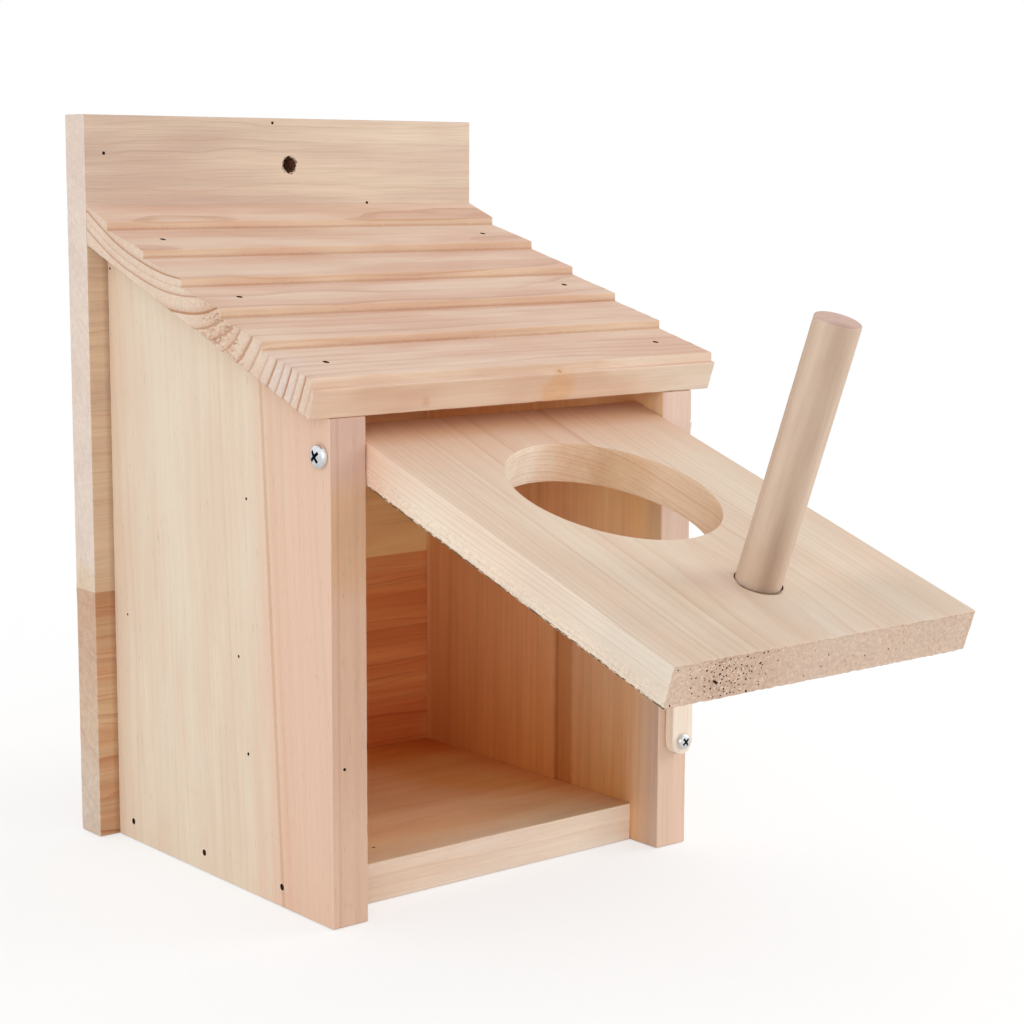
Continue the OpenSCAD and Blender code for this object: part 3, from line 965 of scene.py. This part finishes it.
tearDice = random.Random(9)
upperBack = backPiece("upperBackBoard", "back_board_upper")
lowerBack = backPiece("lowerBackBoard", "back_board_lower")
hangPoint, hangWay, hangRadius, halfWall = holeOf("hanging_hole")
torn = backBoard["holeTorn"]
mouth = hangRadius + torn
cuts = bmesh.new()
latheInto(cuts, hangPoint, hangWay,
          ((mouth, -halfWall - mm), (mouth, -halfWall), (hangRadius, 0.6 * mm - halfWall),
           (hangRadius, halfWall - 0.6 * mm), (mouth, halfWall), (mouth, halfWall + mm)), 40, torn, 2.6, 3)
speckCuts(cuts, backBoard["specks"], front)
cutAway(upperBack, cuts)
fibres = bmesh.new()
for _ in range(backBoard["holeFibres"]):
    angle = tearDice.uniform(0, 2 * math.pi)
    out = Vector((math.cos(angle), 0, math.sin(angle)))
    root = Vector((hangPoint.x, 60 * mm, hangPoint.z)) + out * (hangRadius + 0.25 * mm)
    along = (Vector((out.z, 0, -out.x)) * tearDice.choice((-1, 1)) - out * 0.4).normalized()
    splinterInto(fibres, root, along, front, tearDice.uniform(0.5, 1.3) * mm,
                 tearDice.uniform(0.15, 0.35) * mm, 0.35)
addInto(upperBack, fibres)
for piece in (upperBack, lowerBack):
    cuts = bmesh.new()
    bradCuts(cuts, ("back_brads_left", "back_brads_right", "back_brads_floor"),
             lambda high: (high.z > glueLine) == (piece is upperBack))
    cutAway(piece, cuts)
print("back board made")


# Floor board: pale, its grain running from side to side
floorBoard = planed | {"speck": ((-36, -35, 12, 0.5),)}
floorWood = plainWood | {
    "grain": (1, 0.02, 0), "face": up, "pith": (0, -40 * mm, -70 * mm),
    "ringGap": 3.4 * mm, "seed": 11.0, "waveSize": 8 * mm, "lateShare": 0.3,
    "pale": (236, 216, 198), "warm": (230, 204, 182), "late": (202, 150, 108),
    "tones": (
        # painted shade: the chamber floor deeper and oranger, darker towards the back, in the right back corner
        # and along the right wall
        ((1.19, 1.0, 0.78), facesTo(up, 14, yFrom=-42)),
        ((0.93, 0.64, 0.33), facesTo(up, 14, yFrom=40)),
        ((0.93, 0.76, 0.50), spotAt(point(62, 22, 12), 60, 34, 6), facesTo(up)),
        ((0.98, 0.82, 0.76), lineAt(point(wall, 0, 12), back, 16, 2, 3), facesTo(up)),
        ((0.91, 0.93, 0.89), facesTo(up, 10, yTo=-28)),
        # painted shade: darker towards the right wall
        ((0.86, 0.86, 0.80), facesTo(up, 24, xFrom=22)),
        ((1.16, 1.23, 1.27), facesTo(front, 26, xFrom=20)),
    ),
}
bottomBoard = sweptBoard("floorBoard", "floor_board", 0, -1, floorBoard)
cuts = bmesh.new()
speckCuts(cuts, floorBoard["speck"], up)
cutAway(bottomBoard, cuts)
print("floor made")


# Door: made lying shut, then opened; torn along its left inner arris, rough and pitted on its sawn end
doorBoard = {
    "ease": 0.3 * mm, "wear": 0.7, "step": 1.0 * mm, "outlineStep": 0.7 * mm, "cornerRound": 0.5 * mm,
    "netSides": (-1,), "endNet": 0.42 * mm, "sawRough": 0.26 * mm,
    "pits": 105, "pitCentre": -36 * mm, "pitSpread": 5.5 * mm, "fewPits": 30,
    "pitSize": (0.16 * mm, 0.42 * mm), "pitDepth": 1.0 * mm,
    "tearDepth": 0.5 * mm, "holeFlare": 0.2 * mm, "socketGap": 0.3 * mm, "chipDepth": 0.5 * mm,
    "splinters": 90, "endFibres": 220, "edgeFibres": 1100, "edgeFibreReach": 2.8 * mm,
    "edgeRough": 0.22 * mm, "edgeRoughReach": 7 * mm,
}
doorLow, doorHigh = boxOf("door_board", shutDoor)
perchLow, perchHigh, perchWay, perchRadius = stemIn("perch", shutDoor)
if perchWay.y > 0:
    perchLow, perchHigh, perchWay = perchHigh, perchLow, -perchWay
perchMouth = perchLow + perchWay * ((doorLow.y - perchLow.y) / perchWay.y)
socketDepth = (perchMouth - perchLow).length
arris = (onDoor(-55.5, -48, 0), openWay @ up)
sawn = facesTo(openWay @ down, yTo=-170)  # the sawn end, foremost when the door is lifted
holeWall = lineAt(onDoor(0, -54, 88.5), openWay @ back, 31.3, 31.15)
doorWood = plainWood | {
    "grain": openWay @ Vector((0.012, 0.0, 1.0)), "face": openWay @ back, "pith": onDoor(-4, 14, 70),
    "ringGap": 1.3 * mm, "waves": (140 * mm, 40 * mm), "waveSize": 4 * mm, "seed": 14.0, "lateShare": 0.45,
    "pale": (226, 208, 187), "warm": (222, 198, 176), "late": (190, 140, 104), "endTint": (1, 1, 1),
    "endLate": 0.5, "endRough": 1.6, "streak": 0.12, "mottle": (90 * mm, 16 * mm), "speckle": 0.64,
    # towards the hinge end, which lies under the roof, the top turns pinker: partly the wood's own tone, partly
    # painted shade
    "edgeTone": (openWay @ up, onDoor(0, -54, 112).dot(openWay @ up), 16 * mm, (221, 188, 164)),
    "sawnEnd": (sawn,), "rough": ((1.0, sawn), (0.8, lineAt(*arris, 7, 2, 3), facesTo(left))),
    "tones": (
        ((1.17, 1.23, 1.29), facesTo(left)),
        ((0.96, 0.87, 0.85), sawn),
        ((0.93, 0.90, 0.89), spotAt(onDoor(-34, -54, doorLow.z / mm), 17, 4, 8), sawn),
        ((1.07, 1.06, 1.05), spotAt(onDoor(-55.5, -54, 100), 50, 28), facesTo(left)),
        # painted shade: a dark line along the left inner arris, where the door's edge meets the dark chamber
        ((0.16, 0.10, 0.06), lineAt(*arris, 0.9, 0.55, 0.4, 0.95)),
        # painted light and shade: the entrance hole's wall darker and oranger, lighter at its upper left and
        # darker at its upper right
        ((0.99, 0.90, 0.77), holeWall),
        ((1.17, 1.42, 1.74), spotAt(onDoor(-13, -54, 117), 25, 5, 2), holeWall),
        ((0.91, 0.88, 0.89), spotAt(onDoor(26, -54, 106), 32, 2, 2), holeWall),
        ((0.87, 0.82, 0.73), spotAt(onDoor(22.7, -52, 109.6), 15, 3, 2), holeWall),
        ((0.96, 0.92, 0.90), spotAt(onDoor(-30, -54, 0), 22, 8, 8)),
        # painted shadow: a dark ring round the perch's socket, on its near side, where the gap lies in shade
        ((0.26, 0.16, 0.11), lineAt(openDoor @ perchMouth, openWay @ perchWay, 7.8, 7.1, 0.6, 0.95),
         spotAt(openDoor @ perchMouth + point(-4.2, -5, -1.4), 8, 4.5)),
        # painted shade: darker and oranger by the hinge end, under the roof
        ((0.94, 0.80, 0.66), lineAt(onDoor(0, -60, 138), right, 13, 3, 3)),
        ((0.93, 0.93, 0.93), lineAt(onDoor(0, -60, 6), right, 28, 14, 6)),
        ((0.98, 1.0, 1.03), spotAt(onDoor(4, -60, 12), 20, 4, 12, 0.8)),
        ((0.96, 0.92, 0.87), spotAt(onDoor(-23, -60, 27), 14, 3, 6, 0.8)),
        ((0.93, 0.93, 0.93), spotAt(onDoor(37, -60, 12), 19, 4, 8, 0.9)),
        ((1.0, 0.94, 0.95), spotAt(onDoor(-12, -60, 33), 14, 4, 6, 0.8)),
    ),
}
dice = random.Random(5)


def pitCuts(bm):
    # torn-out pits, crowded towards the door's left
    placed = []
    wanted = doorBoard["pits"] + doorBoard["fewPits"]
    while len(placed) < wanted:
        crowded = len(placed) < doorBoard["pits"]
        x = (dice.gauss(doorBoard["pitCentre"], doorBoard["pitSpread"]) if crowded
             else dice.uniform(-54 * mm, 30 * mm))
        x = min(max(x, doorLow.x + mm), doorHigh.x - mm)
        spot = Vector((x, dice.uniform(doorLow.y + 0.8 * mm, doorHigh.y - 0.7 * mm), doorLow.z))
        size = dice.uniform(*doorBoard["pitSize"]) * (1 if crowded else 0.7)
        if all((spot - other).length > 1.25 * (size + far) for other, far in placed):
            placed.append((spot, size))
    for number, (spot, size) in enumerate(placed):
        deep = doorBoard["pitDepth"] * dice.uniform(0.4, 1.0)
        profile = ((size * 0.3, -deep), (size * 0.8, -deep * 0.5), (size, 0.05 * mm), (size, mm))
        latheInto(bm, spot, down, profile, 9, size * 0.5, number * 1.3, 1)


def doorEnd(x, y, side):
    coarse = bumpAt(x, y, 0, size=1.3 * mm)
    fine = bumpAt(x, y, 5, size=0.5 * mm)
    return doorBoard["sawRough"] * max(0.0, 0.8 + coarse + 0.6 * fine)


def doorTear(spot):
    # chips out of the left inner arris, where the saw came through
    away = math.hypot(spot.x - doorLow.x, spot.y - doorHigh.y)
    chip = bumpAt(spot.z / (4.5 * mm), 3.0, 0) + 0.5 * bumpAt(spot.z / (1.6 * mm), 9.0, 0)
    torn = doorBoard["tearDepth"] * max(0.0, chip + 0.1) * max(0.0, 1 - away / (0.9 * mm))
    fromEnd = max(0.0, 1 - (spot.z - doorLow.z) / (0.9 * mm))
    broken = bumpAt(spot.x / (2.2 * mm), spot.y / (2.2 * mm), 6.0) + 0.15
    broken += 0.6 * bumpAt(spot.x / (0.8 * mm), spot.y / (0.8 * mm), 2.0)
    torn += doorBoard["chipDepth"] * max(0.0, broken) * fromEnd
    if spot.x < doorLow.x + 0.3 * mm:
        fuzz = bumpAt(spot.z / (2.6 * mm), spot.y / (0.9 * mm), 4.0)
        torn += doorBoard["edgeRough"] * (0.4 + fuzz) * max(0.0, 1 - away / doorBoard["edgeRoughReach"])
    return max(0.0, torn)


door = sweptBoard("doorBoard", "door_board", 2, -1, doorBoard, shutDoor, shrink=doorTear, endShape=doorEnd)
holePoint, holeWay, holeRadius, halfDoor = holeOf("entrance_hole")
mouth = holeRadius + doorBoard["holeFlare"]
cuts = bmesh.new()
latheInto(cuts, shutDoor @ holePoint, shutDoor.to_3x3() @ holeWay,
          [(mouth, -halfDoor - mm), (mouth, -halfDoor),
           *((holeRadius, halfDoor * k / 10) for k in range(-9, 10)),
           (mouth, halfDoor), (mouth, halfDoor + mm)], 160, 0.06 * mm)
shank = stemIn("perch_screw", shutDoor)[3] / 2 + 0.02 * mm
socket = perchRadius + doorBoard["socketGap"]
latheInto(cuts, perchMouth, perchWay,
          ((shank, -14 * mm), (shank, -socketDepth), (socket, -socketDepth + 0.01 * mm), (socket, -0.3 * mm),
           (socket + 0.1 * mm, 0.1 * mm), (socket + 0.1 * mm, 2 * mm)), 64, 0.08 * mm, 5.1, 3)
for node in ("hinge_screw_left", "hinge_screw_right"):
    tip, _, way, radius = stemIn(node)
    edge = Vector((doorHigh.x if way.x > 0 else doorLow.x, tip.y, tip.z))
    latheInto(cuts, edge, way, ((0.3 * mm, -19 * mm), (radius / 2, -15 * mm), (radius / 2, mm)), 24, 0, 0, 1)
pitCuts(cuts)
cutAway(door, cuts)
fibres = bmesh.new()
for _ in range(doorBoard["splinters"]):
    share = dice.random() ** 0.8
    z = doorHigh.z - 20 * mm - share * (doorHigh.z - doorLow.z - 25 * mm)
    if bumpAt(z / (14 * mm), 4.0, 0) < -0.15:
        continue  # the torn places come in patches
    out = Vector((-dice.uniform(0.1, 1.0), dice.uniform(0.4, 1.0), 0)).normalized()
    way = up * dice.choice((-1, 1))
    root = Vector((doorLow.x + 0.25 * mm, doorHigh.y - 0.25 * mm, z))
    splinterInto(fibres, root, way, out, dice.uniform(0.6, 1.8) * mm, dice.uniform(0.2, 0.4) * mm,
                 dice.uniform(0.05, 0.2))
for _ in range(doorBoard["edgeFibres"]):
    y = doorHigh.y - 0.4 * mm - abs(dice.gauss(0, doorBoard["edgeFibreReach"]))
    z = dice.uniform(doorLow.z + 3 * mm, doorHigh.z - 6 * mm)
    if y > doorLow.y + mm and bumpAt(z / (9 * mm), 1.0, y / (4 * mm)) > -0.25:
        way = Vector((0, dice.uniform(-0.15, 0.15), 1)).normalized()
        splinterInto(fibres, Vector((doorLow.x, y, z)), way, left, dice.uniform(0.5, 1.8) * mm,
                     dice.uniform(0.2, 0.4) * mm, 0.06)
for _ in range(doorBoard["endFibres"]):
    root = Vector((dice.gauss(doorBoard["pitCentre"], 9 * mm), dice.uniform(doorLow.y + mm, doorHigh.y - mm),
                   doorLow.z + 0.15 * mm))
    angle = dice.uniform(0, 2 * math.pi)
    if root.x > doorLow.x + 2 * mm:
        splinterInto(fibres, root, Vector((math.cos(angle), math.sin(angle), 0)), down,
                     dice.uniform(0.6, 1.4) * mm, dice.uniform(0.2, 0.4) * mm, 0.05)
addInto(door, fibres)
print("door made:", len(door.data.polygons), "faces")


# Perch: a sanded dowel, square cut at its end
perchDowel = {"ease": 0.5 * mm, "wobble": 0.05 * mm, "step": 3 * mm, "endFuzz": 26}
# the dowel's side towards the front, left and below, down which a stripe of painted shade runs
shade = (openDoor @ perchLow + Vector((-0.54, -0.79, -0.24)) * perchRadius, openWay @ perchWay)
dowelWood = plainWood | {
    "grain": openWay @ perchWay, "face": openWay @ right,
    "pith": openDoor @ (perchLow + Vector((14 * mm, 0, 9 * mm))),
    "ringGap": 2.4 * mm, "seed": 17.0, "waveSize": 2.5 * mm, "lateShare": 0.2, "faintest": 0.2,
    "pale": (222, 198, 176), "warm": (214, 189, 167), "late": (186, 148, 122), "endTint": (0.86, 0.76, 0.83),
    "mottle": (30 * mm, 5 * mm), "fleck": 0.06, "fibre": 0.14, "streak": 0.16, "endLate": 0.3,
    "tones": (
        # painted shade: a darker stripe down that side, and darker near the socket
        ((0.76, 0.72, 0.69), lineAt(*shade, 6.2, 0, 1)),
        ((0.94, 0.92, 0.91), spotAt(openDoor @ perchMouth, 16, 3, 3, 0.9)),
        ((0.83, 0.78, 0.76), lineAt(*shade, 5.4, 0, 1), spotAt(openDoor @ perchMouth, 32, 10)),
    ),
}
bm = bmesh.new()
ease = perchDowel["ease"]
perchLength = (perchHigh - perchLow).length
straight = perchLength - 2 * ease
stations = max(2, round(straight / perchDowel["step"]))
latheInto(bm, perchLow, perchWay,
          [(perchRadius - ease, 0),
           *((perchRadius - 0.06 * mm, ease + straight * k / stations) for k in range(stations + 1)),
           (perchRadius - ease * 0.45, perchLength - ease * 0.3),
           (perchRadius - ease, perchLength - 0.02 * mm)],
          64, perchDowel["wobble"])
perch = placed("perchDowel", meshOf("perchDowel", bm))
cuts = bmesh.new()
latheInto(cuts, perchLow, perchWay, ((shank, -mm), (shank, 12 * mm), (0.3 * mm, 15 * mm)), 24, 0, 0, 1)
cutAway(perch, cuts)
fibres = bmesh.new()
turn = perchWay.to_track_quat("Z", "Y").to_matrix()
for _ in range(perchDowel["endFuzz"]):
    angle = dice.uniform(0, 2 * math.pi)
    out = turn @ Vector((math.cos(angle), math.sin(angle), 0))
    around = turn @ Vector((-math.sin(angle), math.cos(angle), 0))
    along = (perchWay + around * dice.uniform(-0.8, 0.8)).normalized()
    root = perchHigh + out * (perchRadius - 0.5 * mm) - perchWay * 0.95 * mm
    splinterInto(fibres, root, along, out, dice.uniform(0.5, 0.8) * mm, dice.uniform(0.1, 0.2) * mm, 0.2)
addInto(perch, fibres)
print("perch made")


# Turn button: a strip with rounded ends, screwed beside the door
turnButton = {"ease": 0.4 * mm, "wear": 0.6, "step": 1.5 * mm, "outlineStep": 1.5 * mm, "cornerRound": 0.0}
buttonWood = plainWood | {
    "grain": up, "face": back, "pith": (40 * mm, 10 * mm, 0), "ringGap": 1.9 * mm, "seed": 20.0,
    "waveSize": 2 * mm, "lateShare": 0.3, "mottle": (20 * mm, 6 * mm),
    "pale": (252, 238, 220), "warm": (247, 229, 210), "late": (216, 170, 135),
}
button = sweptBoard("turnButton", "turn_button", 1, -1, turnButton)
screwTop, screwWay, screwRadius = stemIn("button_screw")[1:]
foot = Vector((screwTop.x, boxOf("turn_button")[1].y + mm, screwTop.z))
shank = screwRadius / 2 + 0.05 * mm
cuts = bmesh.new()
latheInto(cuts, foot, screwWay, ((shank, 0), (shank, 8 * mm)), 24, 0, 0, 1)
cutAway(button, cuts)
print("button made")


# Screws: pan heads with a cross recess
panScrew = {"headShare": 0.31, "recessReach": 0.66, "recessWidth": 0.15, "recessDepth": 0.85,
            "turned": {"hinge_screw_left": 38, "hinge_screw_right": 64, "perch_screw": 10,
                       "button_screw": 38}}


def screwPiece(name, node):
    tip, top, way, radius = stemIn(node)
    length = (top - tip).length
    head = panScrew["headShare"] * 2 * radius
    under = length - head
    threads = []
    height, pitch = 2.2 * radius, 0.55 * radius
    while height < under - 3 * radius:
        threads += [(0.36 * radius, height), (0.49 * radius, height + pitch * 0.4),
                    (0.49 * radius, height + pitch * 0.5)]
        height += pitch
    dome = ((0.95, 0), (0.995, 0.1), (1, 0.25), (0.985, 0.45), (0.93, 0.64), (0.82, 0.8), (0.62, 0.92),
            (0.3, 1))
    bm = bmesh.new()
    latheInto(bm, tip, way,
              [(0.06 * radius, 0), (0.34 * radius, 2 * radius), *threads, (0.42 * radius, under - 3 * radius),
               (0.48 * radius, under - 2.9 * radius), (0.48 * radius, under),
               *((share * radius, under + head * risen) for share, risen in dome)], 48)
    piece = placed(name, meshOf(name, bm))
    cross = bmesh.new()
    spin = Matrix.Rotation(math.radians(panScrew["turned"][node]), 3, "Z")
    turn = way.to_track_quat("Z", "Y").to_matrix() @ spin
    reach, wide = panScrew["recessReach"] * radius, panScrew["recessWidth"] * radius
    bottom = length - head * panScrew["recessDepth"]
    levels = []
    for height, share, thin in ((bottom, 0.3, 0.5), (length + 0.1 * head, 1.0, 1.0)):
        arm, half = reach * share, wide * thin
        corners = [Matrix.Rotation(quarter * math.pi / 2, 2) @ Vector(corner) for quarter in range(4)
                   for corner in ((half, half), (arm, half), (arm, -half))]
        ordered = sorted(corners, key=lambda p: (math.atan2(p.y, p.x), p.length))
        levels.append([cross.verts.new(tip + turn @ Vector((p.x, p.y, height))) for p in ordered])
    # the recess takes the second material, its painted shade
    for face in (*skinInto(cross, levels), cross.faces.new(levels[0][::-1]), cross.faces.new(levels[1])):
        face.material_index = 1
    bmesh.ops.recalc_face_normals(cross, faces=cross.faces)
    cutAway(piece, cross)
    return piece


screws = {node: screwPiece(name, node) for node, name in (
    ("hinge_screw_left", "leftHingeScrew"), ("hinge_screw_right", "rightHingeScrew"),
    ("perch_screw", "perchScrew"), ("button_screw", "buttonScrew"))}
print("screws made")


# Every piece gets its wood or metal and even shading, rides its body and stands for its node
def dress(piece, node, body, materials, slot, turned=asMade, sharpFrom=40):
    while len(piece.data.materials) < len(materials):
        piece.data.materials.append(None)
    while len(piece.data.materials) > len(materials):
        piece.data.materials.pop()
    for index, material in enumerate(materials):
        piece.data.materials[index] = material
    piece.data.transform(turned)
    piece.data.shade_smooth()
    piece.data.set_sharp_from_angle(angle=math.radians(sharpFrom))
    piece.modifiers.new("even shading", "WEIGHTED_NORMAL").keep_sharp = True
    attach(piece, body)
    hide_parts(node)


# hole materials: painted shade in holes, pale torn fibres, painted shade in bores
inHoles = (holeShade, tornWood, boreShade)
dress(roof, "roof_board", "cabinet", (roofMaterial, holeShade), "pink_board")
for piece, node, wood, look, holes, slot in (
        (leftSide, "side_board_left", "left side wood", leftWood, (holeShade,), "pale_board"),
        (rightSide, "side_board_right", "right side wood", rightWood, (holeShade,), "pale_board"),
        (upperBack, "back_board_upper", "upper back wood", upperWood, inHoles, "pale_board"),
        (lowerBack, "back_board_lower", "lower back wood", lowerWood, (holeShade,), "pink_board"),
        (bottomBoard, "floor_board", "floor wood", floorWood, (holeShade,), "pale_board")):
    dress(piece, node, "cabinet", (woodMaterial(wood, look), *holes), slot)
dress(door, "door_board", "door", (woodMaterial("door wood", doorWood), *inHoles), "pale_board", openDoor)
dress(perch, "perch", "door", (woodMaterial("dowel wood", dowelWood), *inHoles), "dowel", openDoor)
dress(button, "turn_button", "button", (woodMaterial("button wood", buttonWood), holeShade), "pale_board")
for node, piece in screws.items():
    body = "cabinet" if node == "button_screw" else "door"
    dress(piece, node, body, (zinc, recessShade), "zinc_screw", sharpFrom=30)
for name, node in frame["nodes"].items():
    if "brads" in name:
        node.data.materials.clear()
        node.data.materials.append(bradSteel)
print("pieces dressed")


# Pale floor that keeps a soft shadow and fades to white, and a white surround
stage = {"floorDrop": 0.2 * mm, "floorSize": 6.0, "shadowFrom": 0.28, "shadowTo": 0.6, "shadowShare": 0.5,
         "centre": (-0.02, -0.06, 0), "surround": 0.8, "floorTone": 0.86}


def makeFloor():
    size, drop = stage["floorSize"] / 2, -stage["floorDrop"]
    mesh = bpy.data.meshes.new("studioFloor")
    mesh.from_pydata([(-size, -size, drop), (size, -size, drop), (size, size, drop), (-size, size, drop)], [],
                     [(0, 1, 2, 3)])
    floor = placed("studioFloor", mesh)
    material, tree = newMaterial("studio floor")
    off = wayCalc(tree, "DISTANCE", addNode(tree, "TexCoord").outputs["Object"], stage["centre"])
    fade = rise(tree, off, stage["shadowFrom"], stage["shadowTo"])
    tone = stage["floorTone"]
    plain = addNode(tree, "BsdfDiffuse", {"Color": (tone, tone, tone, 1)})
    dim = tone * stage["shadowShare"]
    shaded = addNode(tree, "BsdfDiffuse", {"Color": (dim, dim, dim, 1)})
    lift = addNode(tree, "Emission", {"Strength": 1.03 - dim})
    lifted = addNode(tree, "AddShader", {0: shaded.outputs[0], 1: lift.outputs[0]})
    white = addNode(tree, "Emission", {"Strength": 1.0})
    seen = addNode(tree, "MixShader", {0: fade, 1: lifted.outputs[0], 2: white.outputs[0]})
    path = addNode(tree, "LightPath")
    shown = addNode(tree, "MixShader", {0: path.outputs["Is Camera Ray"], 1: plain.outputs[0],
                                        2: seen.outputs[0]})
    addNode(tree, "OutputMaterial", {0: shown.outputs[0]})
    mesh.materials.append(material)


def makeSurround():
    world = bpy.data.worlds.new("white surround")
    world.use_nodes = True
    tree = world.node_tree
    tree.nodes.clear()
    path = addNode(tree, "LightPath")
    mirrored = calc(tree, "MAXIMUM", path.outputs["Is Glossy Ray"], path.outputs["Is Transmission Ray"])
    white = calc(tree, "MAXIMUM", path.outputs["Is Camera Ray"], mirrored)
    glow = addNode(tree, "Background", {"Color": (1, 1, 1, 1), "Strength": stage["surround"]})
    plain = addNode(tree, "Background", {"Color": (1, 1, 1, 1), "Strength": 1.0})
    both = addNode(tree, "MixShader", {0: white, 1: glow.outputs[0], 2: plain.outputs[0]})
    addNode(tree, "OutputWorld", {0: both.outputs[0]})
    bpy.context.scene.world = world


lamps = {
    "left soft box": {"place": (-1.1, -1.2, 0.4), "size": 1.2, "power": 6.8},
    "right soft box": {"place": (1.4, -0.7, 0.8), "size": 1.0, "power": 8.7},
}
camera = {"place": (-0.4153, -0.5608, 0.2120), "turned": (81.327, -0.269, -39.368), "lens": 79.03,
          "sensor": 36.0}


def makeLamp(name, lamp):
    light = bpy.data.lights.new(name, "AREA")
    light.size = lamp["size"]
    light.energy = lamp["power"]
    towards = Vector((0, 0, 0.1)) - Vector(lamp["place"])
    placed(name, light, lamp["place"], towards.to_track_quat("-Z", "Y").to_euler())


def makeCamera():
    data = bpy.data.cameras.new("photo view")
    data.lens = camera["lens"]
    data.sensor_width = camera["sensor"]
    data.clip_start = 0.05
    data.clip_end = 50
    turned = Euler([math.radians(a) for a in camera["turned"]])
    bpy.context.scene.camera = placed("photo view", data, camera["place"], turned)


makeFloor()
makeSurround()
for name, lamp in lamps.items():
    makeLamp(name, lamp)
makeCamera()
bpy.context.scene.view_settings.view_transform = "Standard"
print("stage, lamps and camera ready")
